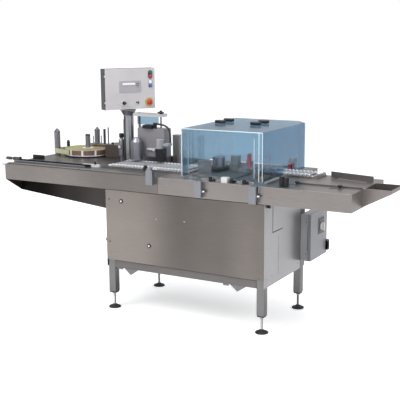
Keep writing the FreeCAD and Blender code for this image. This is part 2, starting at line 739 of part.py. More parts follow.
def hood_parts():
    wide = "hood_right - hood_left"
    deep = "hood_back - hood_front"
    tall = "hood_top - hood_low"
    corner = "hood_corner"
    outer = plate("hood_out", "XY_Plane",
                  [(0, 0), (wide, 0), (wide, f"{deep} - {corner}"), (f"{wide} - {corner}", deep), (0, deep)],
                  tall, ("hood_left", "hood_front", "hood_low"))
    wall = "hood_wall"
    inner = plate("hood_in", "XY_Plane",
                  [(0, 0), (f"{wide} - 2 * {wall}", 0),
                   (f"{wide} - 2 * {wall}", f"{deep} - {corner} - 1.4 * {wall}"),
                   (f"{wide} - {corner} - 1.4 * {wall}", f"{deep} - 2 * {wall}"),
                   (0, f"{deep} - 2 * {wall}")],
                  tall, (f"hood_left + {wall}", f"hood_front + {wall}", f"hood_low - {wall}"))
    way_in = span(("hood_left - 1", 130, "hood_low - 1"),
                  ("hood_left + hood_wall + 1", "470", "hood_low + hood_way_tall"))
    way_out = span(("hood_right - hood_wall - 1", 345, "hood_low - 1"),
                   ("hood_right + 1", 525, "hood_low + hood_way_tall"))
    lugs = []
    seats = []
    for x in (70, 330):
        knuckle = "hinge_radius"
        lugs.append(cut("hood_knuckle",
                        rod(knuckle, 20, (f"{x} - 10", "hinge_y", "hinge_z"), TO_RIGHT),
                        rod("hinge_pin + shaft_play", 22, (f"{x} - 11", "hinge_y", "hinge_z"), TO_RIGHT)))
        seat = [rod("hinge_pin", 56, (f"{x} - 28", "hinge_y", "hinge_z"), TO_RIGHT)]
        for start in (f"{x} - 27", f"{x} + 11"):
            seat.append(rod("seat_radius", 16, (start, "hinge_y", "hinge_z"), TO_RIGHT))
            seat.append(span((start, "hinge_y - 3", "deck_top"), (f"{start} + 16", "hinge_y + 3", "hinge_z")))
        seats.append(fuse("hinge_seat", *seat))
    # the clear sheet in front stands proud of the hood, with rounded corners on its right
    front = "hood_front - sheet_proud"
    low = "hood_low + 2"
    high = "hood_top - 12"
    side = "sheet_right - sheet_corner"
    sheet_piece = fuse("front_sheet",
                       span(("hood_left", front, low), (side, "hood_front", high)),
                       span((side, front, f"{low} + sheet_corner"),
                            ("sheet_right", "hood_front", f"{high} - sheet_corner")),
                       rod("sheet_corner", "sheet_proud", (side, front, f"{low} + sheet_corner"), TO_BACK),
                       rod("sheet_corner", "sheet_proud", (side, front, f"{high} - sheet_corner"), TO_BACK))
    hood = fuse("guard_hood", cut("hood_shell", outer, inner, way_in, way_out), sheet_piece, *lugs)
    grips = []
    for x in ("grip_left_x", "grip_right_x"):
        for y in ("grip_front_y", "grip_back_y"):
            ends = "grip_wide / 2"
            grips.append(fuse("grip",
                              span((f"{x} - grip_long / 2 + {ends}", f"{y} - {ends}", "hood_top"),
                                   (f"{x} + grip_long / 2 - {ends}", f"{y} + {ends}",
                                    "hood_top + grip_tall")),
                              rod(ends, "grip_tall", (f"{x} - grip_long / 2 + {ends}", y, "hood_top")),
                              rod(ends, "grip_tall", (f"{x} + grip_long / 2 - {ends}", y, "hood_top"))))
    return [hood, group("hood_grips", *grips), group("hood_hinges", *seats)]


# ---------------------------------------------------------------- front brackets and hand wheel

def front_brackets():
    front = "deck_front - block_deep"
    pieces = []
    for x, low, high in ((-240, 853, 945), (105, 804, 901), (471, 797, 900)):
        pieces.append(span((x, front, low), (f"{x} + block_wide", "deck_front", high)))
    for x, z in (("105 + block_wide", 840), ("471 + block_wide", 842)):
        pieces.append(rod(9, 19, (x, "deck_front - 16", z), TO_RIGHT))
    pieces.append(rod(4, 36, (526, "deck_front - 4", 862)))
    # clamps on the deck's front edge, which set the rails under the hood
    for x in (188, 330, 414):
        pieces.append(rod(11, 26, (x, 2, "deck_top")))
    pieces.append(span((268, -14, "deck_top"), (308, 20, "deck_top + 32")))
    for x in (12, 72):
        pieces.append(span((x, -16, "deck_top"), (f"{x} + 8", 40, "deck_top + 44")))
    pieces.append(span((110, 24, "deck_top"), (470, 30, "deck_top + 12")))
    pieces.append(rod(11, 15, ("cover_half + 0.5 + sheet_thick", 15, "cover_top - 14"), TO_RIGHT))
    pieces.append(cut("bush",
                      span((-226, "deck_front - 28", 945), (-204, "deck_front - 4", "wheel_z + 10")),
                      rod("spindle_radius + shaft_play", 24, (-227, "deck_front - 16", "wheel_z"),
                          TO_RIGHT)))
    wheel = turned("hand_wheel",
                   [(0, 0), ("wheel_radius", 0), ("wheel_radius", "wheel_thick * 0.7"),
                    ("wheel_radius * 0.8", "wheel_thick"), ("spindle_radius", "wheel_thick"),
                    ("spindle_radius", 96), (0, 96)],
                   (-256, "deck_front - 16", "wheel_z"), TO_RIGHT)
    return [group("front_brackets", *pieces), wheel]


# ---------------------------------------------------------------- outfeed rails

def outfeed_rails():
    length = "sqrt((fence_right_x - fence_left_x)^2 + (fence_left_y - fence_right_y)^2)"
    lean = math.degrees(math.atan2(value("fence_right_y - fence_left_y"),
                                   value("fence_right_x - fence_left_x")))
    fence = box((length, "fence_thick", "fence_top - fence_low"),
                ("fence_left_x", "fence_left_y", "fence_low"), "fence", Rotation(Vector(0, 0, 1), lean))
    feet = [span((x, y, "deck_top"), (f"{x} + 26", f"{y} + 20", "fence_low"))
            for x, y in (("fence_left_x + 18", "fence_left_y - 14"),
                         ("fence_right_x - 40", "fence_right_y - 4"))]
    lip = span((700, 158, "deck_top"), ("deck_right_x - 4", 164, "deck_top + 9"))
    straps = []
    knobs = []
    for label, x, y in (("star_knob_left", 697, 138), ("star_knob_right", 965, 130)):
        strap = box((84, 16, 3), (f"{x} - 50", f"{y} - 34", "deck_top"), "strap",
                    Rotation(Vector(0, 0, 1), 28))
        straps.append(fuse("strap_with_stud", strap, rod("pin_radius", 14, (x, y, "deck_top"))))
        blank = turned(label + "_blank", [("pin_radius + shaft_play", 0), ("star_radius * 0.5", 0),
                                          ("star_radius * 0.5", 4), ("star_radius", 6),
                                          ("star_radius", 14), ("star_radius - 3", 17),
                                          ("pin_radius + shaft_play", 17)], (x, y, "deck_top + 3.3"))
        notches = []
        for number in range(5):
            turn = math.radians(72 * number)
            notches.append(rod("star_radius * 0.36", 20,
                               (f"{x} + {1.12 * math.cos(turn):.4f} * star_radius",
                                f"{y} + {1.12 * math.sin(turn):.4f} * star_radius", "deck_top + 5")))
        knobs.append(cut(label, blank, *notches))
    return [group("outfeed_rails", fence, lip, *feet, *straps)] + knobs


# ---------------------------------------------------------------- label reel and its guides

def reel_parts():
    low = "platter_low"
    bore = "pin_radius * 2 + shaft_play"
    platter = turned("reel_platter",
                     [(bore, 0), ("platter_radius", 0), ("platter_radius", "platter_thick"),
                      ("roll_core - 0.5", "platter_thick"), ("roll_core - 0.5", "platter_thick + 20"),
                      ("hub_radius", "platter_thick + 20"), ("hub_radius", f"hub_top - {low} - 3"),
                      ("hub_radius - 3", f"hub_top - {low}"), (0, f"hub_top - {low}"),
                      (0, 40), (bore, 40)],
                     ("reel_x", "reel_y", low))
    roll = turned("label_roll",
                  [("roll_core", 0), ("roll_radius", 0), ("roll_radius", "roll_tall"),
                   ("roll_core", "roll_tall")], ("reel_x", "reel_y", f"{low} + platter_thick"))
    left = turned("guide_roller_left",
                  [("pin_radius + shaft_play", 0), ("guide_left_radius", 0),
                   ("guide_left_radius", "guide_left_top - guide_low - 12"),
                   ("guide_left_radius * 0.45", "guide_left_top - guide_low"),
                   (0, "guide_left_top - guide_low"), (0, 100), ("pin_radius + shaft_play", 100)],
                  ("guide_left_x", "guide_left_y", "guide_low"))
    pointed = turned("guide_roller_cone",
                     [("pin_radius + shaft_play", 0), ("guide_cone_radius", 0),
                      ("guide_cone_radius", "guide_cone_top - guide_cone_low"),
                      (2, "guide_cone_top - guide_cone_low + 24"),
                      (0, "guide_cone_top - guide_cone_low + 24"),
                      (0, 88), ("pin_radius + shaft_play", 88)],
                     ("guide_cone_x", "guide_cone_y", "guide_cone_low"))
    studs = [fuse("reel_stud", rod(30, "platter_low - deck_top - 1", ("reel_x", "reel_y", "deck_top")),
                  rod("pin_radius * 2", 38, ("reel_x", "reel_y", "deck_top + 4"))),
             fuse("roller_stud",
                  rod(20, "guide_low - deck_top - 1", ("guide_left_x", "guide_left_y", "deck_top")),
                  rod("pin_radius", 104, ("guide_left_x", "guide_left_y", "deck_top"))),
             turned("dome_post", [(0, 0), (6, 0), (6, 45), (12, 47), (12, 82), (7, 93), (0, 95)],
                    (-1364, 622, "deck_top"))]
    # an arm reaches from the rewind box over the roll, with the cone roller's stud and pins on it
    above = "arm_low + arm_thick"
    pins = [rod(radius, f"{high} - ({above})", (x, y, above))
            for x, y, radius, high in ((-1103, 722, 9, 1080), (-1078, 735, 4.5, 1092),
                                       (-1205, 722, 3, 1025), (-1132, 722, 3, 1030))]
    rewind = group("rewind_box",
                   span(("rewind_left", 560, "deck_top"), (-865, 700, "rewind_top")),
                   rod(9, 13, (-945, 600, "rewind_top")),
                   span((-1222, 684, "arm_low"), ("rewind_left", 748, above)),
                   rod("pin_radius", 87, ("guide_cone_x", "guide_cone_y", above)), *pins)
    return [platter, roll, left, pointed, group("reel_studs", *studs), rewind]


# ---------------------------------------------------------------- post, label head and air parts

def label_head_parts():
    post = fuse("main_post",
                rod("post_radius", "post_top - deck_top", ("post_x", "post_y", "deck_top")),
                rod("post_radius + 4", 10, ("post_x", "post_y", "deck_top")),
                cone("post_radius", "collar_radius", "collar_top - post_top",
                     ("post_x", "post_y", "post_top")),
                span(("post_x - post_radius - 5", "post_y - 7", "deck_top + 10"),
                     ("post_x - post_radius + 4", "post_y + 7", "post_top - 30")))
    back = cut("head_stand",
               fuse("stand_plates",
                    span(("head_left - 42", "head_back", "deck_top"),
                         ("head_right", "head_back + 10", "head_top")),
                    span(("head_left - 42", "head_back", "head_top"),
                         ("head_left - 28", "head_back + 10", "bar_top")),
                    span(("head_left - 42", "head_back - 65", "bar_low"), (-405, "head_back", "bar_top"))),
               rod("spindle_radius + shaft_play", 40, ("knob_x", "knob_y", "bar_low - 10")))
    # the round housing, and the bottle with the stub that the air line ends on
    housing = fuse("housing",
                   turned("round_housing", [(0, 0), (38, 0), (38, 118), (24, 145), (0, 150)],
                          (-577, 362, 938)),
                   span((-598, "head_front - 12", 970), (-560, "head_front", 1060)))
    bottle = fuse("bottle", rod(27, 62, (-400, 374, 1018)),
                  span((-384, 368, 1036), ("hose_x", "hose_y + 8", "hose_low")))
    parts = [back, housing, bottle,
             span(("head_left", "head_front", "head_low"), ("head_right", "head_back", "head_top")),
             rod("pin_radius", 18, (-505, "head_front", 1006), TO_FRONT),
             span((-545, 408, "head_top"), (-474, 456, "head_top + 22")),
             span((-472, 404, "head_top"), ("hose_start_x", "hose_y + 8", "hose_z + 8")),
             span((-424, 352, 934), (-368, "head_front", 1018)),
             span((-442, "head_back + 10", "deck_top"), (-372, 540, 950)),
             span((-414, 560, "deck_top"), (-362, 612, 1090))]
    head = group("label_head", *parts)
    window = span(("head_left - 14", 425, "head_top + 23"), (-444, 430, "bar_low"), "head_window")
    knob_blank = turned("knob_blank", [(0, 0), ("spindle_radius", 0), ("spindle_radius", 95), (11, 95),
                                       (12, 98), (24, 98), (24, 106), (12, 109), (8, 110),
                                       (8, 115), (0, 117)],
                        ("knob_x", "knob_y", "head_top + 4"))
    notches = []
    for number in range(5):
        turn = math.radians(72 * number + 36)
        notches.append(rod(9, 24, (f"knob_x + {26 * math.cos(turn):.3f}",
                                   f"knob_y + {26 * math.sin(turn):.3f}", "head_top + 98")))
    knob = cut("head_knob", knob_blank, *notches)
    arm = fuse("press_arm",
               cut("arm_bar", span((-516, 389, 1000), (-452, 402, 1012)),
                   rod("pin_radius + shaft_play", 15, (-505, 403, 1006), TO_FRONT)),
               rod(9, 34, (-450, 402, 1006), TO_FRONT))
    regulator = turned("air_regulator",
                       [(0, 0), (12, 0), (12, 34), (20, 40), (20, 150), (11, 160), (11, 166), (16, 168),
                        (16, 192), (12, 196), (0, 196)], (-757, 440, "deck_top"))
    return [post, head, window, knob, arm, regulator, air_hose()]


def air_hose():
    """A short air line that arches from the head's top down to the bottle's stub.

    Each turn of its route is an arc as large as its two runs allow.
    """
    radius = value("hose_radius")
    route = [Vector(value(x), value("hose_y"), value(z))
             for x, z in (("hose_start_x", "hose_z"), ("hose_start_x + 52", "hose_z"),
                          ("hose_x - 16", "hose_z - 26"), ("hose_x - 8", "hose_z - 76"),
                          ("hose_x - 8", "hose_low"))]
    edges = []
    here = route[0]
    for before, corner, after in zip(route, route[1:], route[2:]):
        back = before - corner
        on = after - corner
        half_turn = (math.pi - back.getAngle(on)) / 2
        reach = 0.45 * min(back.Length, on.Length)
        bend = reach / math.tan(half_turn)
        back.normalize()
        on.normalize()
        middle = (back + on).normalize()
        start = corner + back * reach
        mid = corner + middle * (bend / math.cos(half_turn) - bend)
        end = corner + on * reach
        edges += [Part.LineSegment(here, start).toShape(), Part.Arc(start, mid, end).toShape()]
        here = end
        print("air hose bend radius", round(bend, 1))
    edges.append(Part.LineSegment(here, route[-1]).toShape())
    line = Part.Wire(edges)
    ring = Part.Wire([Part.makeCircle(radius, route[0], route[1] - route[0])])
    thing = doc.addObject("Part::Feature", "air_hose")
    thing.Shape = line.makePipeShell([ring], True, False)
    thing.Placement = Placement(spot((0, 0, 0)), UP)
    print("air hose length", round(line.Length, 1), "volume ratio",
          round(thing.Shape.Volume / (math.pi * radius ** 2 * line.Length), 4))
    return thing


# ---------------------------------------------------------------- control box

def edge_knuckles(x, y, low, on_panel=False):
    """An upright edge hinge: its pin and two fixed knuckles, the moving knuckle, and the moving bore."""
    pin = [rod("edge_pin", 42, (x, y, low), on_panel=on_panel)]
    pin += [rod("edge_knuckle", 14, (x, y, z), on_panel=on_panel) for z in (low, f"{low} + 28")]
    knuckle = rod("edge_knuckle", 13.4, (x, y, f"{low} + 14.3"), on_panel=on_panel)
    bore = rod("edge_pin + shaft_play", 15, (x, y, f"{low} + 13.5"), on_panel=on_panel)
    return pin, knuckle, bore


def control_parts():
    half = "panel_wide / 2"
    top = "panel_low + panel_tall"
    face = "-panel_front - door_thick"
    shell = cut("box_shell",
                span((f"-{half}", "-panel_front", "panel_low"), (half, "panel_back", top), on_panel=True),
                span((f"-{half} + sheet_thick", "-panel_front - 1", "panel_low + sheet_thick"),
                     (f"{half} - sheet_thick", "panel_back - sheet_thick", f"{top} - sheet_thick"),
                     on_panel=True))
    hinge_x = f"-{half} - edge_out"
    pins = []
    door_side = []
    bores = []
    for low in ("panel_low + 28", "panel_low + panel_tall - 70"):
        pin, knuckle, bore = edge_knuckles(hinge_x, "-panel_front", low, on_panel=True)
        pins += pin
        for z in (low, f"{low} + 28"):
            pins.append(span((hinge_x, "-panel_front + 0.5", z),
                             (f"-{half}", "-panel_front + 4", f"{z} + 14"), on_panel=True))
        door_side += [knuckle, span((hinge_x, face, f"{low} + 14.3"),
                                    (f"-{half}", "-panel_front - 0.5", f"{low} + 27.7"), on_panel=True)]
        bores.append(bore)
    body = fuse("control_box", shell,
                rod(30, "panel_low - collar_top", (0, 0, "collar_top"), on_panel=True), *pins)
    holes = []
    stem = "button_stem + shaft_play"
    places = (("column_x", "start_z"), ("column_x", "stop_z"), ("column_x", "lamp_z"),
              ("column_x", "reset_z"), ("stop_all_x", "dial_row_z"), ("speed_x", "dial_row_z"),
              ("key_x", "dial_row_z"))
    for x, z in places:
        holes.append(rod(stem, "door_thick + 2", (x, "-panel_front + 1", z), TO_FRONT, on_panel=True))
    door = cut("control_door",
               fuse("door_with_ring",
                    span((f"-{half}", face, "panel_low"), (half, "-panel_front", top), on_panel=True),
                    rod(30, 3, ("stop_all_x", face, "dial_row_z"), TO_FRONT, on_panel=True),
                    *door_side),
               *bores,
               rod(stem, 16, ("stop_all_x", "-panel_front + 1", "dial_row_z"), TO_FRONT, on_panel=True),
               *holes)
    display = cut("display_frame",
                  span((-82, f"{face} - 3", 1383), (79, face, 1459), on_panel=True),
                  span((-74, f"{face} - 4", 1391), (71, f"{face} - 1.5", 1451), on_panel=True))
    lamp = turned("lamp_lens", [(0, 0), ("button_stem", 0), ("button_stem", "12 + door_thick"),
                                ("button_radius", "12 + door_thick"),
                                ("button_radius", "15 + door_thick"),
                                ("button_radius - 2", "17 + door_thick"), (0, "17 + door_thick")],
                  ("column_x", "-panel_front + 12", "lamp_z"), TO_FRONT, on_panel=True)
    found = [body, door, group("display_unit", display, lamp)]

    def button(label, x, z, head, proud, travel):
        """A button whose stem runs in the door, its head standing off by the travel."""
        return turned(label, [(0, 0), ("button_stem", 0), ("button_stem", f"12 + door_thick + {travel}"),
                              (head, f"12 + door_thick + {travel}"),
                              (head, f"10 + door_thick + {travel} + {proud}"),
                              (f"{head} - 2", f"12 + door_thick + {travel} + {proud}"),
                              (0, f"12 + door_thick + {travel} + {proud}")],
                      (x, "-panel_front + 12", z), TO_FRONT, on_panel=True)

    found.append(button("start_button", "column_x", "start_z", "button_radius", 4, 4))
    found.append(button("stop_button", "column_x", "stop_z", "button_radius", 5, 4))
    found.append(button("reset_button", "column_x", "reset_z", "button_radius", 4, 4))
    found.append(button("emergency_stop", "stop_all_x", "dial_row_z", "mushroom_radius", 9, 9))
    found.append(turned("speed_knob", [(0, 0), ("button_stem", 0), ("button_stem", "12.3 + door_thick"),
                                       (19, "12.3 + door_thick"), (19, "15 + door_thick"),
                                       (13, "15 + door_thick"), (11.5, "30 + door_thick"),
                                       (0, "30 + door_thick")],
                        ("speed_x", "-panel_front + 12", "dial_row_z"), TO_FRONT, on_panel=True))
    key_stem = turned("key_barrel", [(0, 0), ("button_stem", 0), ("button_stem", "12.3 + door_thick"),
                                     (12, "12.3 + door_thick"), (12, "16 + door_thick"),
                                     (0, "16 + door_thick")],
                      ("key_x", "-panel_front + 12", "dial_row_z"), TO_FRONT, on_panel=True)
    key_blade = span(("key_x - 1.2", f"{face} - 26", "dial_row_z - 9"),
                     ("key_x + 1.2", f"{face} - 4", "dial_row_z + 9"), on_panel=True)
    found.append(fuse("key_switch", key_stem, key_blade))
    return found


# ---------------------------------------------------------------- switch box

def switch_parts():
    left = "cover_half + 2"
    lid = f"{left} + switch_body"
    back = "switch_y + switch_long"
    top = "switch_low + switch_tall"
    shell = cut("switch_shell",
                span((left, "switch_y", "switch_low"), (lid, back, top)),
                span((f"{left} + sheet_thick", "switch_y + sheet_thick", "switch_low + sheet_thick"),
                     (f"{lid} + 1", f"{back} - sheet_thick", f"{top} - sheet_thick")))
    hinge_y = "switch_y - edge_out"
    pins = []
    lid_side = []
    bores = []
    for low in ("switch_low + 28", "switch_low + switch_tall - 70"):
        pin, knuckle, bore = edge_knuckles(lid, hinge_y, low)
        pins += pin
        for z in (low, f"{low} + 28"):
            pins.append(span((f"{lid} - 4", hinge_y, z), (f"{lid} - 0.5", "switch_y", f"{z} + 14")))
        lid_side += [knuckle, span((f"{lid} + 0.5", hinge_y, f"{low} + 14.3"),
                                   (f"{lid} + 4", "switch_y", f"{low} + 27.7"))]
        bores.append(bore)
    shell = fuse("switch_box", shell, *pins)
    hollow = cut("lid_shell",
                 span((lid, "switch_y", "switch_low"), (f"{lid} + switch_lid", back, top)),
                 span((f"{lid} - 1", "switch_y + sheet_thick", "switch_low + sheet_thick"),
                      (f"{lid} + switch_lid - sheet_thick", f"{back} - sheet_thick", f"{top} - sheet_thick")))
    outside = f"{lid} + switch_lid"
    door = cut("switch_door",
               fuse("lid_with_plate", hollow, *lid_side,
                    span((outside, 636, 486), (f"{outside} + 3", 728, 596)),
                    span((outside, f"{back} - 22", 356), (f"{outside} + 16", f"{back} + 8", 424))),
               *bores, rod("button_stem + shaft_play", 20, (f"{outside} - 10", "isolator_y", "isolator_z"),
                           TO_RIGHT))
    blade = span((f"{outside} + 9", "isolator_y - 8", "isolator_z - 27"),
                 (f"{outside} + 26", "isolator_y + 8", "isolator_z + 27"))
    handle = fuse("isolator_handle",
                  turned("handle_boss", [(0, 0), ("button_stem", 0), ("button_stem", 11.3), (24, 11.3),
                                         (24, 17), (0, 17)],
                         (f"{outside} - 8", "isolator_y", "isolator_z"), TO_RIGHT),
                  blade)
    return [shell, door, handle]


parts = []
for section in (frame_parts, cabinet_covers, deck_parts, infeed_rails):
    parts += section()
parts += roller_chain("infeed", "infeed_tail_x", "infeed_head_x", "infeed_front_y", "infeed_roller_long")
parts += roller_chain("outfeed", "outfeed_tail_x", "outfeed_head_x", "outfeed_front_y",
                      "outfeed_roller_long")
for section in (chain_supports, wrapping_station, hood_parts, front_brackets, outfeed_rails, reel_parts,
                label_head_parts, control_parts, switch_parts):
    parts += section()

sheet.clear(SCRATCH)
doc.recompute()
for thing in doc.Objects:
    if "Invalid" in thing.State or "Error" in thing.State:
        raise RuntimeError(f"{thing.Label} failed: {thing.State}")
os.makedirs("parts", exist_ok=True)
whole = FreeCAD.BoundBox()
for thing in parts:
    if thing.Shape.isNull() or not thing.Shape.isValid() or thing.Shape.Volume < 1:
        raise RuntimeError(f"{thing.Label} has no valid shape")
    thing.Shape.exportStep(f"parts/{thing.Label}.step")
    whole.add(thing.Shape.BoundBox)
print(len(parts), "sub-parts;", "footprint from", (round(whole.XMin, 2), round(whole.YMin, 2)), "to",
      (round(whole.XMax, 2), round(whole.YMax, 2)), "height", round(whole.ZMin, 2), round(whole.ZMax, 2))
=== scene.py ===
import json
import math

import bmesh
import bpy
from mathutils import Matrix, Quaternion, Vector


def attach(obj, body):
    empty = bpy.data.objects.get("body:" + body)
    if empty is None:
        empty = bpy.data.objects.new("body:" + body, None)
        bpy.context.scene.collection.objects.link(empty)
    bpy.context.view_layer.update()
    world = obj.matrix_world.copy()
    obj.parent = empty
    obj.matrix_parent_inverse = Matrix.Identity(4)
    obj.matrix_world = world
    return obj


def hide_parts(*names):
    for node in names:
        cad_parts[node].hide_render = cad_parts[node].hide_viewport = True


# The looks of a vial labelling machine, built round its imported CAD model, in the model's own
# frame: X to the right, Y to the back, Z up from the floor.  Shapes are made in millimetres and
# set down in metres.  The camera, the lights, the materials and the air hose are in metres.

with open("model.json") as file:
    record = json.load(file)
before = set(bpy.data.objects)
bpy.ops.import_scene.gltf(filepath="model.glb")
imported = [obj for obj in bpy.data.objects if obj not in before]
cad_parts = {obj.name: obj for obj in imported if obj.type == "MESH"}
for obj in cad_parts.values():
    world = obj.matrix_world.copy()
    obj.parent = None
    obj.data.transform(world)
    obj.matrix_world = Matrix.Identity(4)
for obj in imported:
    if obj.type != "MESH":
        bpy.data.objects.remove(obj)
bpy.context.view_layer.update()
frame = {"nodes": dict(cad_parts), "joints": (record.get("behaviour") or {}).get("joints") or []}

MM = 0.001
HOSE = 0.013
TO_FRONT = (0, -1, 0)
# radii that leave a little clearance round a stud or shaft, or inside a hole
STUD_BORE = 4.06
SHAFT_BORE = 8.05
STEM = 7.9


# ---------------------------------------------------------------- places read from the frame

class Extent:
    """How far CAD nodes reach at rest, in millimetres along the model's axes or a frame's."""

    def __init__(self, *nodes, axes=Matrix.Identity(4)):
        turn_back = axes.inverted()
        points = [turn_back @ v.co / MM for node in nodes for v in frame["nodes"][node].data.vertices]
        self.low = Vector(min(p[i] for p in points) for i in range(3))
        self.high = Vector(max(p[i] for p in points) for i in range(3))
        self.left, self.front, self.bottom = self.low
        self.right, self.back, self.top = self.high
        self.centre = (self.low + self.high) / 2
        self.size = self.high - self.low
        self.foot = Vector((self.centre.x, self.centre.y, self.bottom))
        self.rear = Vector((self.centre.x, self.back, self.centre.z))

    def holds(self, point, wall):
        """Whether a point lies under the top and within the sides by more than a wall."""
        return (self.left + wall < point.x < self.right - wall and self.front
                + wall < point.y < self.back - wall and point.z < self.top - wall)


def joint(name):
    return next(j for j in frame["joints"] if j["name"] == name)


# ---------------------------------------------------------------- materials

def new_material(name, colour, metallic=0.0, roughness=0.5, **settings):
    """A Principled material with constant values on its sockets, and its node tree."""
    material = bpy.data.materials.new(name)
    material.use_nodes = True
    shader = material.node_tree.nodes["Principled BSDF"]
    shader.inputs["Base Color"].default_value = (*colour, 1)
    shader.inputs["Metallic"].default_value = metallic
    shader.inputs["Roughness"].default_value = roughness
    for socket, value in settings.items():
        shader.inputs[socket.replace("_", " ")].default_value = value
    material.diffuse_color = (*colour, 1)
    return material, material.node_tree, shader


def add_node(tree, kind, **values):
    """A new shader node with constant values on its sockets."""
    node = tree.nodes.new("ShaderNode" + kind)
    for socket, value in values.items():
        node.inputs[socket.replace("_", " ")].default_value = value
    return node


def add_ramp(tree, factor, *stops):
    """A colour ramp over a factor, from (place, colour) pairs."""
    node = add_node(tree, "ValToRGB")
    while len(node.color_ramp.elements) < len(stops):
        node.color_ramp.elements.new(0.5)
    for element, (place, colour) in zip(node.color_ramp.elements, stops):
        element.position = place
        element.color = (*colour, 1)
    tree.links.new(factor, node.inputs["Fac"])
    return node


def noise(tree, scale, stretch=(1, 1, 1), detail=4.0, roughness=0.6):
    """A noise pattern fixed to the object, stretched along the model's axes."""
    place = add_node(tree, "TexCoord")
    mapping = add_node(tree, "Mapping", Scale=stretch)
    pattern = add_node(tree, "TexNoise", Scale=scale, Detail=detail, Roughness=roughness)
    tree.links.new(place.outputs["Object"], mapping.inputs["Vector"])
    tree.links.new(mapping.outputs["Vector"], pattern.inputs["Vector"])
    return pattern.outputs["Fac"]


def blend_colours(tree, factor, first, second, low=0.3, high=0.7):
    """Goes from one colour to another as the factor rises."""
    return add_ramp(tree, factor, (low, first), (high, second)).outputs["Color"]


def multiply(tree, one, other):
    mix = add_node(tree, "Mix", Factor=1.0)
    mix.data_type = "RGBA"
    mix.blend_type = "MULTIPLY"
    tree.links.new(one, mix.inputs["A"])
    tree.links.new(other, mix.inputs["B"])
    return mix.outputs["Result"]


def remap(tree, factor, low, high):
    span = add_node(tree, "MapRange", To_Min=low, To_Max=high)
    tree.links.new(factor, span.inputs["Value"])
    return span.outputs["Result"]


def add_bump(tree, shader, height, strength, distance):
    bump = add_node(tree, "Bump", Strength=strength, Distance=distance)
    tree.links.new(height, bump.inputs["Height"])
    tree.links.new(bump.outputs["Normal"], shader.inputs["Normal"])


def shaded(colour, by):
    return tuple(min(1.0, c * by) for c in colour)


def painted_light_along_length(tree, painted_light_tones):
    """A painted change of light and shade from a part's left end to its right end."""
    place = add_node(tree, "TexCoord")
    split = add_node(tree, "SeparateXYZ")
    tree.links.new(place.outputs["Generated"], split.inputs["Vector"])
    ramp = add_ramp(tree, split.outputs["X"], *((spot, (tone,) * 3) for spot, tone in painted_light_tones))
    ramp.color_ramp.interpolation = "EASE"
    return ramp.outputs["Color"]


def brushed(name, colour, grain=(1, 60, 60), roughness=0.34, contrast=0.12, cloud=0.10, painted_light_tones=None):
    """Brushed metal: fine streaks along the grain, over a slow, cloudy change of tone.

    The tones are painted light and shade along its length, as (place, tone) pairs from 0 to 1.
    """
    material, tree, shader = new_material(name, colour, 1.0, roughness)
    streaks = noise(tree, 14.0, grain, 6.0, 0.7)
    clouds = noise(tree, 2.3, (1, 1, 1.4), 2.0, 0.5)
    streak_tone = blend_colours(tree, streaks, shaded(colour, 1 - contrast), shaded(colour, 1 + contrast))
    cloud_tone = blend_colours(tree, clouds, (1 - cloud,) * 3, (1.0, 1.0, 1.0))
    whole = multiply(tree, streak_tone, cloud_tone)
    if painted_light_tones:
        whole = multiply(tree, whole, painted_light_along_length(tree, painted_light_tones))
    tree.links.new(whole, shader.inputs["Base Color"])
    tree.links.new(remap(tree, streaks, roughness - 0.07, roughness + 0.08), shader.inputs["Roughness"])
    add_bump(tree, shader, streaks, 0.12, 0.0003)
    return material


def turned_metal(name, colour, roughness=0.25):
    """Machined metal: fine rings or lines across the part, and a light change of tone."""
    material, tree, shader = new_material(name, colour, 1.0, roughness)
    lines = noise(tree, 60.0, (1, 1, 12), 3.0)
    tree.links.new(blend_colours(tree, lines, shaded(colour, 0.84), shaded(colour, 1.08)),
                   shader.inputs["Base Color"])
    tree.links.new(remap(tree, lines, roughness - 0.06, roughness + 0.10), shader.inputs["Roughness"])
    add_bump(tree, shader, lines, 0.10, 0.0002)
    return material


def moulded(name, colour, roughness=0.45, grain=260.0, relief=0.18, wear=0.12):
    """Moulded plastic or rubber: a fine grain, with handling marks in the tone."""
    material, tree, shader = new_material(name, colour, 0.0, roughness)
    skin = noise(tree, grain, (1, 1, 1), 2.0)
    marks = noise(tree, 18.0, (1, 1, 1), 5.0)
    tree.links.new(blend_colours(tree, marks, shaded(colour, 1 - wear), shaded(colour, 1 + wear)),
                   shader.inputs["Base Color"])
    tree.links.new(remap(tree, marks, roughness - 0.08, roughness + 0.08), shader.inputs["Roughness"])
    add_bump(tree, shader, skin, relief, 0.0004)
    return material


def painted(name, colour, roughness=0.38, peel=0.10):
    """Sprayed enamel: a soft orange peel, with a slow change of tone."""
    material, tree, shader = new_material(name, colour, 0.0, roughness, Coat_Weight=0.25,
                                          Coat_Roughness=0.18)
    skin = noise(tree, 150.0, (1, 1, 1), 1.0)
    clouds = noise(tree, 5.0, (1, 1, 1), 3.0)
    tree.links.new(blend_colours(tree, clouds, shaded(colour, 0.93), shaded(colour, 1.04)),
                   shader.inputs["Base Color"])
    add_bump(tree, shader, skin, peel, 0.0005)
    return material


def clear(name, colour, roughness=0.04, cover=1.0):
    """Clear tinted acrylic, faintly hazed by wiping.

    Cover is the share of it that tints and reflects; light goes straight through the rest.
    """
    material, tree, shader = new_material(name, colour, 0.0, roughness, Transmission_Weight=1.0, IOR=1.35,
                                          Alpha=cover)
    haze = noise(tree, 7.0, (1, 1, 3), 4.0)
    tree.links.new(remap(tree, haze, roughness * 0.5, roughness * 1.9), shader.inputs["Roughness"])
    tree.links.new(blend_colours(tree, haze, shaded(colour, 0.96), shaded(colour, 1.03)),
                   shader.inputs["Base Color"])
    return material


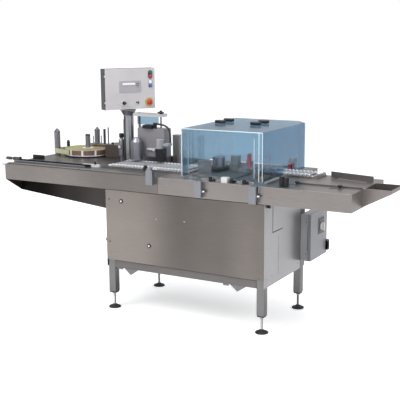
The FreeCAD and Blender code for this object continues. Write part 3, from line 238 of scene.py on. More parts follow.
def roll_top(name, centre):
    """The wound edge of the label roll: fine rings that run from yellow-green to tan."""
    material, tree, shader = new_material(name, (0.6, 0.5, 0.3), 0.0, 0.42)
    reach = 0.16
    place = add_node(tree, "TexCoord")
    mapping = add_node(tree, "Mapping", Location=-centre)
    rings = add_node(tree, "TexWave", Scale=70.0, Distortion=1.2, Detail=3.0)
    rings.wave_type = "RINGS"
    rings.rings_direction = "Z"
    tree.links.new(place.outputs["Object"], mapping.inputs["Vector"])
    tree.links.new(mapping.outputs["Vector"], rings.inputs["Vector"])
    across = add_node(tree, "SeparateXYZ")
    tree.links.new(mapping.outputs["Vector"], across.inputs["Vector"])
    spread = add_node(tree, "MapRange", From_Min=-reach, From_Max=reach)
    tree.links.new(across.outputs["X"], spread.inputs["Value"])
    tone = blend_colours(tree, spread.outputs["Result"], (0.30, 0.29, 0.115), (0.29, 0.185, 0.11), 0.30,
                         0.80)
    lines = blend_colours(tree, rings.outputs["Fac"], (0.70, 0.68, 0.60), (1.0, 1.0, 1.0), 0.0, 1.0)
    tree.links.new(multiply(tree, tone, lines), shader.inputs["Base Color"])
    add_bump(tree, shader, rings.outputs["Fac"], 0.25, 0.0006)
    return material


GRAIN = {"x": (1, 60, 60), "y": (60, 1, 60), "z": (60, 60, 1)}
# the front panel's tones are a painted reflection: bright at the left end, darker in the middle
steel_front_painted_sheen = brushed("steel_front_painted_sheen", (0.325, 0.29, 0.265), GRAIN["x"], 0.36,
                      painted_light_tones=((0.0, 1.0), (0.2, 0.94), (0.5, 0.52), (0.72, 0.58), (0.9, 0.72), (1.0, 0.66)))
steel_deck = brushed("steel_deck", (0.345, 0.315, 0.30), GRAIN["x"])
# the skirt's tones are a painted reflection: bright at the left end, darker towards the right
steel_skirt_painted_sheen = brushed("steel_skirt_painted_sheen", (0.35, 0.315, 0.295), GRAIN["x"],
                      painted_light_tones=((0.0, 1.0), (0.35, 0.95), (0.7, 0.72), (1.0, 0.76)))
# a darker copy of the deck steel for the deck's upward faces: painted shade
steel_top_painted_shade = brushed("steel_top_painted_shade", (0.190, 0.180, 0.180), GRAIN["x"], 0.3)
steel_end = brushed("steel_end", (0.44, 0.43, 0.44), GRAIN["y"])
steel_leg = brushed("steel_leg", (0.235, 0.23, 0.23), GRAIN["z"])
# darkened as painted shade, for the frame rails in shadow under the front panel
steel_rail_painted_shade = brushed("steel_rail_painted_shade", (0.20, 0.185, 0.18), GRAIN["x"], 0.4)
steel_dark = brushed("steel_dark", (0.13, 0.12, 0.12), GRAIN["x"], 0.4)
# painted shade of the trough recessed under the deck skirt, darkest at its left end
steel_trough_painted_shade = brushed("steel_trough_painted_shade", (0.105, 0.093, 0.088), GRAIN["x"], 0.42,
                       painted_light_tones=((0.0, 0.08), (0.15, 0.11), (0.35, 0.45), (0.55, 0.80), (1.0, 0.78)))
steel_bright = turned_metal("steel_bright", (0.46, 0.46, 0.48), 0.24)
aluminium = turned_metal("aluminium", (0.36, 0.37, 0.40), 0.34)
steel_polished = turned_metal("steel_polished", (0.78, 0.78, 0.80), 0.2)
post_metal = brushed("post_metal", (0.38, 0.385, 0.405), GRAIN["z"], 0.3, 0.06)
bar_steel = brushed("bar_steel", (0.82, 0.81, 0.82), GRAIN["x"], 0.3, 0.06)
aluminium_matt = brushed("aluminium_matt", (0.34, 0.345, 0.375), GRAIN["z"], 0.42, 0.06)
brown_metal = painted("brown_metal", (0.16, 0.125, 0.105), 0.45)
brown_light = painted("brown_light", (0.30, 0.27, 0.24), 0.4)
brown_dark = painted("brown_dark", (0.065, 0.048, 0.042), 0.5)
black_plastic = moulded("black_plastic", (0.008, 0.008, 0.010), 0.42)
black_rubber = moulded("black_rubber", (0.022, 0.021, 0.021), 0.6, 180.0, 0.35)
white_plastic = moulded("white_plastic", (0.66, 0.67, 0.70), 0.3, 200.0, 0.08, 0.05)
grey_plastic = moulded("grey_plastic", (0.36, 0.36, 0.39), 0.35, 200.0, 0.08, 0.06)
cream_plastic = moulded("cream_plastic", (0.66, 0.65, 0.60), 0.35, 200.0, 0.08, 0.05)
red_rubber = moulded("red_rubber", (0.62, 0.035, 0.05), 0.45, 180.0, 0.2)
box_paint = painted("box_paint", (0.585, 0.555, 0.565))
# painted shade: the control box's grey paint darkened for its shell and hinge knuckles, as if in shadow
box_side_painted_shade = painted("box_side_painted_shade", (0.036, 0.036, 0.035))
switch_side = painted("switch_side", (0.36, 0.355, 0.37))
switch_paint = painted("switch_paint", (0.24, 0.24, 0.258))
roller_grey = moulded("roller_grey", (0.33, 0.33, 0.345), 0.35, 200.0, 0.08, 0.06)
plate_grey = moulded("plate_grey", (0.085, 0.085, 0.095), 0.4, 300.0, 0.1, 0.06)
head_paint = painted("head_paint", (0.235, 0.225, 0.235), 0.42)
column_grey = painted("column_grey", (0.33, 0.325, 0.32), 0.42)
motor_paint = painted("motor_paint", (0.028, 0.030, 0.035), 0.4)
display_plastic = moulded("display_plastic", (0.42, 0.38, 0.41), 0.4, 300.0, 0.1, 0.05)
strip_orange = moulded("strip_orange", (0.52, 0.24, 0.12), 0.4, 150.0, 0.1, 0.2)
paper_backing = moulded("paper_backing", (0.16, 0.11, 0.075), 0.5, 300.0, 0.1, 0.2)
web_paper = moulded("web_paper", (0.52, 0.52, 0.33), 0.45, 300.0, 0.1, 0.1)
paper_white = moulded("paper_white", (0.80, 0.78, 0.72), 0.5, 300.0, 0.1, 0.06)
button_green = moulded("button_green", (0.02, 0.10, 0.07), 0.25, 300.0, 0.05, 0.08)
button_red = moulded("button_red", (0.50, 0.03, 0.05), 0.28, 300.0, 0.05, 0.06)
button_blue = moulded("button_blue", (0.05, 0.13, 0.42), 0.28, 300.0, 0.05, 0.06)
yellow_plastic = moulded("yellow_plastic", (0.55, 0.36, 0.08), 0.35, 300.0, 0.05, 0.06)
lamp_white = moulded("lamp_white", (0.88, 0.90, 0.98), 0.2, 300.0, 0.03, 0.03)
screen_glow = moulded("screen_glow", (0.90, 0.90, 0.92), 0.25, 300.0, 0.02, 0.02)
key_green = moulded("key_green", (0.10, 0.36, 0.30), 0.35, 300.0, 0.05, 0.06)
acrylic_blue = clear("acrylic_blue", (0.12, 0.35, 0.56), 0.008, 0.70)
acrylic_plain = clear("acrylic_plain", (0.70, 0.84, 0.90), 0.004, 0.16)
# a lighter, bluer copy of the hood acrylic for its top faces: painted sheen
acrylic_top_painted_sheen = clear("acrylic_top_painted_sheen", (0.14, 0.40, 0.66), 0.012, 0.6)
# opaque pale paint for rods along the hood's joints: a painted highlight of the acrylic edges
acrylic_edge_painted_highlight = painted("acrylic_edge_painted_highlight", (0.80, 0.90, 0.95), 0.22)
window_blue = clear("window_blue", (0.42, 0.62, 0.76), 0.02)


# ---------------------------------------------------------------- mesh work

SMOOTH_ANGLE = math.radians(32)
AXES = {"x": Vector((1, 0, 0)), "y": Vector((0, 1, 0)), "z": Vector((0, 0, 1))}


# where a point across an axis and along it lies
ACROSS = {"z": lambda a, b, c: Vector((a, b, c)), "x": lambda a, b, c: Vector((c, a, b)), "y": lambda a, b,
          c: Vector((a, c, b))}


class Shape:
    """A mesh in the making, in millimetres.  Every solid added to it has its own material."""

    def __init__(self, axes=Matrix.Identity(4)):
        self.mesh = bmesh.new()
        self.materials = []
        self.axes = axes

    def paint(self, faces, material):
        if material not in self.materials:
            self.materials.append(material)
        for face in faces:
            face.material_index = self.materials.index(material)

    def block(self, low, high, material, turn=None):
        """A block between two opposite corners, turned about its middle if asked."""
        low, high = Vector(low), Vector(high)
        size = high - low
        place = Matrix.Translation((low + high) / 2)
        if turn is not None:
            place = place @ turn
        made = bmesh.ops.create_cube(self.mesh, size=1.0, matrix=place @ Matrix.Diagonal((*size, 1)))
        self.paint({f for v in made["verts"] for f in v.link_faces}, material)

    def lathe(self, at, axis, profile, material, steps=40, flutes=0, depth=0.0, fluted=()):
        """A turned solid: (radius, height) pairs from its foot to its top, with flutes if asked."""
        axis = AXES[axis] if isinstance(axis, str) else Vector(axis)
        turn = Vector((0, 0, 1)).rotation_difference(axis).to_matrix()
        at = Vector(at)
        rings = []
        for number, (radius, height) in enumerate(profile):
            ring = []
            for step in range(steps if radius > 1e-4 else 1):
                angle = 2 * math.pi * step / steps
                reach = radius
                if flutes and number in fluted:
                    reach -= depth * (0.5 - 0.5 * math.cos(flutes * angle))
                place = Vector((reach * math.cos(angle), reach * math.sin(angle), height))
                ring.append(self.mesh.verts.new(at + turn @ place))
            rings.append(ring)
        faces = []
        for lower, upper in zip(rings, rings[1:]):
            count = max(len(lower), len(upper))
            for step in range(count):
                after = (step + 1) % count
                corners = [lower[step % len(lower)], lower[after % len(lower)], upper[after % len(upper)],
                           upper[step % len(upper)]]
                kept = [v for i, v in enumerate(corners) if v not in corners[:i]]
                if len(kept) > 2:
                    faces.append(self.mesh.faces.new(kept))
        for ring in (rings[0], rings[-1]):
            if len(ring) > 2:
                faces.append(self.mesh.faces.new(ring if ring is rings[-1] else ring[::-1]))
        self.paint(faces, material)

    def rod(self, start, end, radius, material, steps=24, edge=0.0):
        """A round bar between two points, with its ends chamfered by edge."""
        start, end = Vector(start), Vector(end)
        run = (end - start).length
        edge = min(edge, run * 0.4, radius * 0.6)
        profile = [(radius, 0), (radius, run)]
        if edge > 0:
            profile = [(radius - edge, 0), (radius, edge), (radius, run - edge), (radius - edge, run)]
        self.lathe(start, (end - start).normalized(), profile, material, steps)

    def prism(self, outline, run, material, axis="z", at=(0, 0, 0)):
        """An outline, given across an axis, thickened along it from a point.

        Its pairs are (x, y) for z, (y, z) for x and (x, z) for y.
        """
        at = Vector(at)
        place = ACROSS[axis]
        near = [self.mesh.verts.new(at + place(a, b, 0)) for a, b in outline]
        far = [self.mesh.verts.new(at + place(a, b, run)) for a, b in outline]
        faces = [self.mesh.faces.new(near), self.mesh.faces.new(far)]
        for i in range(len(near)):
            j = (i + 1) % len(near)
            faces.append(self.mesh.faces.new((near[i], near[j], far[j], far[i])))
        self.paint(faces, material)

    def ring(self, outer, inner, run, material, axis="z", at=(0, 0, 0)):
        """The band between two outlines with as many corners each, thickened along an axis."""
        at = Vector(at)
        place = ACROSS[axis]
        loops = [[self.mesh.verts.new(at + place(a, b, c)) for a, b in line] for line,
                 c in ((outer, 0), (inner, 0), (inner, run), (outer, run))]
        faces = []
        for one, other in zip(loops, loops[1:] + loops[:1]):
            for i in range(len(one)):
                j = (i + 1) % len(one)
                faces.append(self.mesh.faces.new((one[i], one[j], other[j], other[i])))
        self.paint(faces, material)

    def node(self, name, material, finishes=None):
        """A CAD node's own shape, with its flat faces made whole.

        Finishes names a material for each of its solids, counted from the left.
        """
        source = bmesh.new()
        source.from_mesh(frame["nodes"][name].data)
        bmesh.ops.remove_doubles(source, verts=source.verts, dist=1e-5)
        bmesh.ops.dissolve_limit(source, angle_limit=math.radians(1.5), verts=source.verts,
                                 edges=source.edges)
        back = self.axes.inverted()
        for vert in source.verts:
            vert.co = back @ vert.co / MM
        if finishes:
            solids = sorted(loose_solids(source), key=lambda s: s[0])
            if len(solids) != len(finishes):
                raise ValueError(f"{name} has {len(solids)} solids, not {len(finishes)}")
            for (_, faces), finish in zip(solids, finishes):
                self.paint(faces, finish)
        else:
            self.paint(source.faces, material)
        carried = bpy.data.meshes.new("carried")
        source.to_mesh(carried)
        source.free()
        self.mesh.from_mesh(carried)
        bpy.data.meshes.remove(carried)
        return self

    def done(self, name, body, replaces=(), slot=None, bevel=0.6, segments=2):
        """Makes the object, rounds its edges and sets it on its body."""
        bmesh.ops.recalc_face_normals(self.mesh, faces=self.mesh.faces)
        mesh = bpy.data.meshes.new(name)
        self.mesh.to_mesh(mesh)
        self.mesh.free()
        mesh.transform(self.axes @ Matrix.Scale(MM, 4))
        for material in self.materials:
            mesh.materials.append(material)
        mesh.shade_smooth()
        mesh.set_sharp_from_angle(angle=SMOOTH_ANGLE)
        thing = bpy.data.objects.new(name, mesh)
        bpy.context.scene.collection.objects.link(thing)
        if bevel > 0:
            edge = thing.modifiers.new("edges", "BEVEL")
            edge.width = bevel * MM
            edge.segments = segments
            edge.limit_method = "ANGLE"
            edge.angle_limit = math.radians(40)
            edge.harden_normals = True
        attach(thing, body)
        if replaces:
            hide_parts(*replaces)


def loose_solids(source):
    """Each separate solid of a mesh: its lowest corner, rounded to a tenth of a millimetre, and faces."""
    seen = set()
    found = []
    for first in source.faces:
        if first in seen:
            continue
        stack = [first]
        seen.add(first)
        faces = []
        while stack:
            face = stack.pop()
            faces.append(face)
            for edge in face.edges:
                for other in edge.link_faces:
                    if other not in seen:
                        seen.add(other)
                        stack.append(other)
        low = tuple(round(min(v.co[i] for f in faces for v in f.verts), 1) for i in range(3))
        found.append((low, faces))
    return found


def rounded(wide, deep, radius, at=(0, 0), corner_steps=5):
    """A rounded rectangle about a point, as pairs."""
    outline = []
    for cx, cy, start in ((1, 1, 0), (-1, 1, 90), (-1, -1, 180), (1, -1, 270)):
        for step in range(corner_steps + 1):
            angle = math.radians(start + 90 * step / corner_steps)
            outline.append((at[0] + cx * (wide / 2 - radius) + radius * math.cos(angle),
                            at[1] + cy * (deep / 2 - radius) + radius * math.sin(angle)))
    return outline


def carry(node, name, material, slot, bevel, segments=2, body="machine", finishes=None):
    """Takes a CAD node's own shape as it is, with rounded edges and a finish."""
    Shape().node(node, material, finishes).done(name, body, [node], slot, bevel, segments)


def screw(shape, at, axis, radius, material=steel_bright):
    """A pan-head screw with a cross slot."""
    axis = AXES[axis] if isinstance(axis, str) else Vector(axis)
    at = Vector(at)
    shape.lathe(at, axis,
                [(radius, 0), (radius, radius * 0.25), (radius * 0.75, radius * 0.55),
                 (radius * 0.28, radius * 0.62)], material, 20)
    shape.lathe(at + axis * radius * 0.60, axis, [(radius * 0.26, 0), (radius * 0.26, radius * 0.03)],
                black_plastic, 4)


def socket_bolt(shape, at, axis, radius):
    """A cap screw with a hexagon socket."""
    axis = AXES[axis] if isinstance(axis, str) else Vector(axis)
    shape.lathe(at, axis,
                [(radius, 0), (radius, radius * 0.9), (radius * 0.9, radius), (radius * 0.52, radius)],
                steel_bright, 24)
    shape.lathe(Vector(at) + axis * radius, axis, [(radius * 0.5, 0), (radius * 0.5, radius * 0.02)],
                black_plastic, 6)


# ---------------------------------------------------------------- camera, lights and floor

def camera_and_lights():
    scene = bpy.context.scene
    camera = bpy.data.objects.new("camera", bpy.data.cameras.new("camera"))
    camera.data.lens = 78.69
    camera.data.sensor_width = 36.0
    camera.data.clip_end = 100.0
    scene.collection.objects.link(camera)
    heading, drop, tilt = math.radians(29.54), math.radians(11.03), math.radians(-0.36)
    ahead = Vector((-math.sin(heading) * math.cos(drop), math.cos(heading) * math.cos(drop),
                    -math.sin(drop)))
    camera.location = (2.8276, -4.9170, 1.7979)
    camera.rotation_mode = "QUATERNION"
    camera.rotation_quaternion = ahead.to_track_quat("-Z", "Y") @ Quaternion((0, 0, 1), tilt)
    scene.camera = camera
    scene.view_settings.view_transform = "Standard"

    for name, at, aim, size, power in (("key_light", (-1.6, -3.6, 4.6), (0.0, 0.0, 0.8), 3.2, 150.0),
                                       ("fill_light", (4.2, -1.8, 2.6), (0.6, 0.0, 0.8), 3.0, 55.0),
                                       ("top_light", (0.0, 0.6, 5.2), (0.0, 0.0, 0.9), 4.0, 120.0)):
        lamp = bpy.data.lights.new(name, "AREA")
        lamp.shape = "DISK"
        lamp.size = size
        lamp.energy = power
        light = bpy.data.objects.new(name, lamp)
        light.location = at
        light.rotation_mode = "QUATERNION"
        light.rotation_quaternion = (Vector(aim) - Vector(at)).to_track_quat("-Z", "Y")
        scene.collection.objects.link(light)

    world = bpy.data.worlds.new("studio")
    world.use_nodes = True
    scene.world = world
    tree = world.node_tree
    tree.nodes.clear()
    out = add_node(tree, "OutputWorld")
    seen = add_node(tree, "Background", Color=(1, 1, 1, 1), Strength=1.0)
    lit = add_node(tree, "Background")
    height = add_node(tree, "TexCoord")
    split = add_node(tree, "SeparateXYZ")
    shift = add_node(tree, "MapRange", From_Min=-1.0)
    path = add_node(tree, "LightPath")
    mix = add_node(tree, "MixShader")
    tree.links.new(height.outputs["Generated"], split.inputs["Vector"])
    tree.links.new(split.outputs["Z"], shift.inputs["Value"])
    sky = blend_colours(tree, shift.outputs["Result"], (0.36, 0.35, 0.345), (0.80, 0.82, 0.85), 0.44, 0.85)
    tree.links.new(sky, lit.inputs["Color"])
    tree.links.new(path.outputs["Is Camera Ray"], mix.inputs["Fac"])
    tree.links.new(lit.outputs["Background"], mix.inputs[1])
    tree.links.new(seen.outputs["Background"], mix.inputs[2])
    tree.links.new(mix.outputs["Shader"], out.inputs["Surface"])

    # a pale floor, lifted towards white only where the camera sees it
    material, tree, shader = new_material("floor_pale", (0.86, 0.86, 0.86), 0.0, 0.7,
                                          Specular_IOR_Level=0.1, Emission_Color=(1, 1, 1, 1))
    speckle = noise(tree, 3.0, (1, 1, 1), 3.0)
    tree.links.new(blend_colours(tree, speckle, (0.86, 0.86, 0.86), (0.90, 0.90, 0.90)),
                   shader.inputs["Base Color"])
    path = add_node(tree, "LightPath")
    tree.links.new(remap(tree, path.outputs["Is Camera Ray"], 0.0, 0.46),
                   shader.inputs["Emission Strength"])
    mesh = bpy.data.meshes.new("floor")
    reach = 40.0
    mesh.from_pydata([(-reach, -reach, 0), (reach, -reach, 0), (reach, reach, 0), (-reach, reach, 0)], [],
                     [(0, 1, 2, 3)])
    mesh.materials.append(material)
    floor = bpy.data.objects.new("floor", mesh)
    floor.location.z = -0.0005
    scene.collection.objects.link(floor)


# ---------------------------------------------------------------- frame, feet and covers

TUBE = 50
WALL = 2


def frame_and_feet():
    legs = Extent("corner_legs")
    rails = Extent("frame_rails")
    outer = rounded(TUBE, TUBE, 4)
    inner = rounded(TUBE - 2 * WALL, TUBE - 2 * WALL, 2.5)
    xs = (legs.left + TUBE / 2, legs.right - TUBE / 2)
    ys = (legs.front + TUBE / 2, legs.back - TUBE / 2)
    shape = Shape()
    for x in xs:
        for y in ys:
            shape.ring(outer, inner, legs.top - legs.bottom, steel_leg, "z", (x, y, legs.bottom))
    shape.done("corner_leg_tubes", "machine", ["corner_legs"], "steel_brushed", 0.4)

    gusset_tall = 40
    shape = Shape()
    for z in (rails.bottom + gusset_tall + TUBE / 2, rails.top - TUBE / 2):
        for y in ys:
            shape.ring(outer, inner, xs[1] - xs[0] - TUBE, steel_rail_painted_shade, "x", (xs[0] + TUBE / 2, y, z))
        for x in xs:
            shape.ring(outer, inner, ys[1] - ys[0] - TUBE, steel_rail_painted_shade, "y", (x, ys[0] + TUBE / 2, z))
    wide = 110
    for x in (xs[0] + 95, xs[1] - 205):
        top = rails.bottom + gusset_tall
        shape.prism([(0, 0), (wide, 0), (wide * 0.45, -gusset_tall)], 2, steel_leg, "y",
                    (x, ys[0] - TUBE / 2 + 4, top))
        shape.block((x - 48, ys[0] - TUBE / 2 + 4, top - 11), (x - 8, ys[0] - TUBE / 2 + 6, top), steel_leg)
    shape.done("frame_rail_tubes", "machine", ["frame_rails"], "steel_brushed", 0.4)

    feet = Extent("levelling_feet")
    pads = Shape()
    stems = Shape()
    pad = 40
    for x in (feet.left + pad, feet.right - pad):
        for y in (feet.front + pad, feet.back - pad):
            at = (x, y, feet.bottom)
            pads.lathe(at, "z",
                       [(36, 0), (40, 1.5), (40, 5), (38.5, 7.5), (33, 10.5), (22, 14.5), (15, 18),
                        (12, 22), (8.6, 23)], black_rubber, 56)
            thread = [(6.6, 22)]
            turns = 30
            for turn in range(turns):
                z = 24 + 2.2 * turn
                thread += [(7.6, z), (6.8, z + 1.1)]
            thread.append((6.6, 93))
            stems.lathe(at, "z", thread, steel_bright, 28)
            stems.lathe((x, y, 92), "z", [(12, 0), (13, 1), (13, 9), (12, 10)], steel_bright, 6)
            stems.prism(rounded(TUBE - 2 * WALL - 1, TUBE - 2 * WALL - 1, 3, (x, y)), 9, black_plastic, "z",
                        (0, 0, 103.5))
    pads.done("foot_pads", "machine", ["levelling_feet"], "black_plastic", 0)
    stems.done("foot_stems", "machine", (), "steel_bright", 0)


def covers():
    carry("front_panel", "front_cover", steel_front_painted_sheen, "steel_panel", 1.2)
    carry("side_panel_right", "right_cover", steel_end, "steel_panel", 0.7)
    carry("rear_cover", "back_cover", steel_end, "steel_panel", 0.7)
    panel = Extent("front_panel")
    shape = Shape()
    for x, z in ((380, 302), (585, 308)):
        screw(shape, (panel.left + x, panel.front, panel.bottom + z), TO_FRONT, 6)
    for z in (120, 400):
        shape.block((panel.left + 20, panel.front - 1.2, panel.bottom + z - 6),
                    (panel.left + 29, panel.front + 1, panel.bottom + z + 6), steel_dark)
    for x, z in ((70, 448), (560, 448), (1060, 448), (1090, 14), (36, 14)):
        screw(shape, (panel.left + x, panel.front, panel.bottom + z), TO_FRONT, 4, steel_front_painted_sheen)
    side = Extent("side_panel_right")
    for y, z in ((34, 52), (110, 58), (500, 40), (500, 470), (34, 470)):
        screw(shape, (side.right, side.front + y, side.bottom + z), "x", 5)
    # a dark strip on the end panel: the slit's shadow, painted on
    shape.block((side.right - 1, side.front + 201, side.bottom + 45),
                (side.right + 0.4, side.front + 202.5, side.bottom + 290), steel_dark)
    # a black sheet behind the slit, painted shade that keeps the slit dark
    shape.block((side.left - 3, side.front + 100, side.top - 200),
                (side.left - 1, side.front + 280, side.top - 8), black_rubber)
    shape.done("cover_screws", "machine", (), "steel_bright", 0.3)

    back = Extent("rear_cover")
    shape = Shape()
    for z in (150, 185, 220, 255, 290, 325):
        for x in (-300, 300):
            middle = back.centre.x + x
            shape.block((middle - 90, back.back - 0.5, back.bottom + z),
                        (middle + 90, back.back + 4, back.bottom + z + 9), steel_end,
                        Matrix.Rotation(math.radians(24), 4, "X"))
    for x in (back.left + 22, back.centre.x, back.right - 20):
        for z in (back.bottom + 20, back.top - 20):
            screw(shape, (x, back.back, z), "y", 5)
    shape.lathe((back.left, back.back - 120, back.centre.z), (-1, 0, 0),
                [(16, 0), (16, 5), (11, 8), (11, 14), (8, 16)], black_plastic, 32)
    shape.lathe((back.left, back.front + 18, panel.bottom + 128), (-1, 0, 0),
                [(11, 0), (12, 3), (12, 11), (9, 14)], black_plastic, 32)
    shape.done("back_louvres", "machine", (), "steel_panel", 0.4)


def panel_locks():
    """Slotted barrels in black collars."""
    for name in ("panel_lock_upper", "panel_lock_lower"):
        lock = Extent(name)
        run = lock.size.y
        shape = Shape()
        shape.lathe(lock.rear, TO_FRONT, [(9, 0), (9, run - 4)], steel_bright, 32)
        shape.lathe(lock.rear, TO_FRONT,
                    [(9, run - 3.7), (14, run - 3.7), (14, run - 1.5), (12, run), (7.5, run)],
                    black_plastic, 40)
        shape.lathe(lock.rear, TO_FRONT, [(7.4, run - 2), (7.4, run - 0.2), (6.6, run + 0.2)],
                    white_plastic, 32)
        shape.block((lock.centre.x - 5.5, lock.front + 0.2, lock.centre.z - 1.2),
                    (lock.centre.x + 5.5, lock.front + 0.8, lock.centre.z + 1.2), black_plastic)
        shape.done(name + "_barrel", name, [name], "steel_bright", 0)


# ---------------------------------------------------------------- deck, tray and rails

def deck():
    left = Extent("deck_left")
    sheet = Shape().node("deck_left", steel_skirt_painted_sheen)
    # the faces inside the sheet, recessed under the skirt and top, get painted shade
    shaded_inside = [face for face in sheet.mesh.faces if left.holds(face.calc_center_median(), 4)]
    sheet.paint(shaded_inside, steel_trough_painted_shade)
    # the upward faces get a darker steel as painted shade
    sheet.paint([face for face in sheet.mesh.faces if face.normal.z > 0.9], steel_top_painted_shade)
    sheet.done("left_deck_sheet", "machine", ["deck_left"], "steel_panel", 0.9)
    carry("deck_right", "right_deck_sheet", steel_deck, "steel_panel", 0.9)
    carry("catch_tray", "tray_sheet", steel_deck, "steel_panel", 0.7)
    right = Extent("deck_right")
    tray = Extent("catch_tray")
    shape = Shape()
    for x in (left.left + 60, right.left - 70, right.left + 62, right.left + 300):
        screw(shape, (x, right.front, right.top - 44), TO_FRONT, 4.5)
    for x in (left.left + 120, left.left + 520, left.left + 900, right.left + 260):
        screw(shape, (x, left.back, right.top - 50), "y", 4.5)
    for x, y in ((811, 60), (811, 500), (931, 500), (1231, 500), (1231, 40), (901, 60)):
        screw(shape, (right.left + x, right.front + y, right.top), "z", 4)
    for x, y in ((40, 30), (40, 770), (600, 770), (1200, 770), (1200, 40)):
        screw(shape, (left.left + x, left.front + y, left.top), "z", 4)
    # the fold of the tray's flange against the deck's end
    for y in (tray.front - 12, tray.back):
        shape.block((tray.left, y, tray.bottom + 4), (tray.left + 1.5, y + 12, right.top - 6), steel_deck)
    shape.done("deck_screws", "machine", (), "steel_bright", 0.3)


def rails():
    carry("guide_rails", "black_rails", black_plastic, "black_plastic", 2.2, 3,
          finishes=[black_plastic, black_plastic, black_rubber])
    bars = Extent("edge_bars")
    finishes = [steel_deck, steel_dark, steel_deck, aluminium_matt, white_plastic, steel_deck]
    shape = Shape().node("edge_bars", aluminium, finishes)
    top = Extent("guide_rails")
    for x in (bars.left + 160, bars.left + 420, top.right - 40):
        socket_bolt(shape, (x, bars.front + 30, bars.bottom + 13), "z", 4)
    shape.done("bars_and_blocks", "machine", ["edge_bars"], "aluminium_part", 0.9)

    knob = Extent("rail_adjuster")
    radius, run = knob.size.z / 2, knob.size.x
    shape = Shape()
    shape.lathe((knob.right, knob.centre.y, knob.centre.z), (-1, 0, 0),
                [(radius * 0.86, 0), (radius, run * 0.02), (radius, run * 0.40), (radius * 0.9, run * 0.43),
                 (radius * 0.55, run * 0.45), (radius * 0.55, run * 0.60), (radius * 0.78, run * 0.61),
                 (radius * 0.85, run * 0.63), (radius * 0.85, run * 0.96), (radius * 0.75, run)],
                steel_dark, 96, 32, 0.9, (1, 2, 7, 8))
    shape.done("rail_adjuster_knob", "rail_adjuster", ["rail_adjuster"], "aluminium_part", 0)


# ---------------------------------------------------------------- roller chains

PITCH = 25.4
ROLLER = 10


def roller_chain(name):
    """Carrier rollers round the whole loop, each on its own pin, with link plates between them."""
    whole = Extent(name + "_chain")
    reach = whole.size.z / 2 - ROLLER
    run = whole.size.x - 2 * (reach + ROLLER)
    lap = 2 * run + 2 * math.pi * reach
    count = round(lap / PITCH)
    middle = Vector((whole.centre.x, 0, whole.centre.z))

    def place(way, out=0.0):
        """The point that far round the loop, and the way the loop runs there."""
        half, way = divmod(way % lap, lap / 2)
        side = -1 if half else 1
        turn = max(0.0, way - run) / reach
        ahead = Vector((math.cos(turn), 0, -math.sin(turn)))
        up = Vector((math.sin(turn), 0, math.cos(turn)))
        along = Vector((min(way, run) - run / 2, 0, 0))
        return middle + side * (along + (reach + out) * up), side * ahead

    carriers = Shape()
    links = Shape()
    half_plate = Vector((12, 3, 3.6))
    wide = whole.size.y
    for number in range(count):
        at, _ = place(lap * number / count)
        at.y = whole.front
        carriers.lathe(at, "y", [(3.6, 1.6), (8, 0.6), (9.9, 2), (9.9, 15), (8, 17), (3.6, 17)],
                       white_plastic, 20)
        carriers.lathe(at, "y",
                       [(3.6, wide - 17), (8, wide - 17), (9.9, wide - 15), (9.9, wide - 2),
                        (8, wide - 0.6), (3.6, wide - 1.6)], white_plastic, 20)
        carriers.lathe(at, "y",
                       [(3.6, 18), (6.6, 18.5), (6.6, wide / 2 - 4), (8.4, wide / 2 - 2),
                        (8.4, wide / 2 + 2), (6.6, wide / 2 + 4), (6.6, wide - 18.5), (3.6, wide - 18)],
                       roller_grey, 16)
        links.rod(at + Vector((0, 0.2, 0)), at + Vector((0, wide - 0.2, 0)), 3.2, steel_bright, 12, 0.6)
        # the chains' link plates, under the rollers
        plate, way = place(lap * number / count, -14)
        turn = Matrix(((way.x, 0, -way.z, 0), (0, 1, 0, 0), (way.z, 0, way.x, 0), (0, 0, 0, 1)))
        for plate.y in (whole.front + 23, whole.back - 23):
            links.block(plate - half_plate, plate + half_plate, steel_dark, turn)
    carriers.done(name + "_carrier_rollers", "machine", [name + "_chain"], "roller_white", 0)
    links.done(name + "_chain_links", "machine", (), "steel_bright", 0)
    for end in ("tail", "head"):
        node = f"{name}_{end}_shaft"
        carry(node, node + "_turned", steel_bright, "steel_bright", 0.5, body=node)


def chain_frames():
    shape = Shape().node("chain_side_plates", steel_deck, [steel_deck] * 4 + [aluminium])
    plates = Extent("chain_side_plates")
    for x in (60, 200, 340, 480, 620):
        socket_bolt(shape, (plates.left + x, plates.front, plates.top - 34), TO_FRONT, 5)
    end = Extent("outfeed_chain")
    for y in (end.front + 14, end.back - 14):
        socket_bolt(shape, (plates.right - 7, y, plates.top), "z", 4)
    shape.done("chain_frame_plates", "machine", ["chain_side_plates"], "steel_panel", 0.6)

    motor = Extent("drive_motor")
    shape = Shape().node("drive_motor", motor_paint)
    barrel = 40
    middle = Vector((motor.centre.x, motor.back - barrel - 1, motor.bottom))
    for number in range(13):
        z = 14 + number * 11
        shape.lathe(middle + Vector((0, 0, z)), "z",
                    [(barrel - 2, 0), (barrel + 1, 1), (barrel + 1, 3), (barrel - 2, 4)], motor_paint, 40)
    shape.done("drive_motor_finned", "machine", ["drive_motor"], "motor_grey", 1)


# ---------------------------------------------------------------- wrapping station and hood

def wrapping_station():
    finishes = [steel_deck, aluminium_matt, steel_bright, brown_light, head_paint, black_rubber,
                steel_bright, strip_orange, steel_bright, aluminium_matt, steel_bright, steel_bright,
                steel_bright, black_plastic, black_plastic]
    shape = Shape().node("station_base", steel_deck, finishes)
    base = Extent("station_base")
    plate_front = base.front + 104
    for x, y in ((12, 12), (12, 316), (296, 12), (296, 316), (150, 12)):
        socket_bolt(shape, (base.left + x, plate_front + y, base.bottom + 6), "z", 4)
    shape.done("station_plates", "machine", ["station_base"], "aluminium_part", 0.9)


def bolt_circle(shape, at, count, reach, first=0):
    """Small cap screws evenly round an upright axis, the first one turned by that many degrees."""
    for number in range(count):
        angle = math.radians(360 / count * number + first)
        socket_bolt(shape, at + reach * Vector((math.cos(angle), math.sin(angle), 0)), "z", 3)


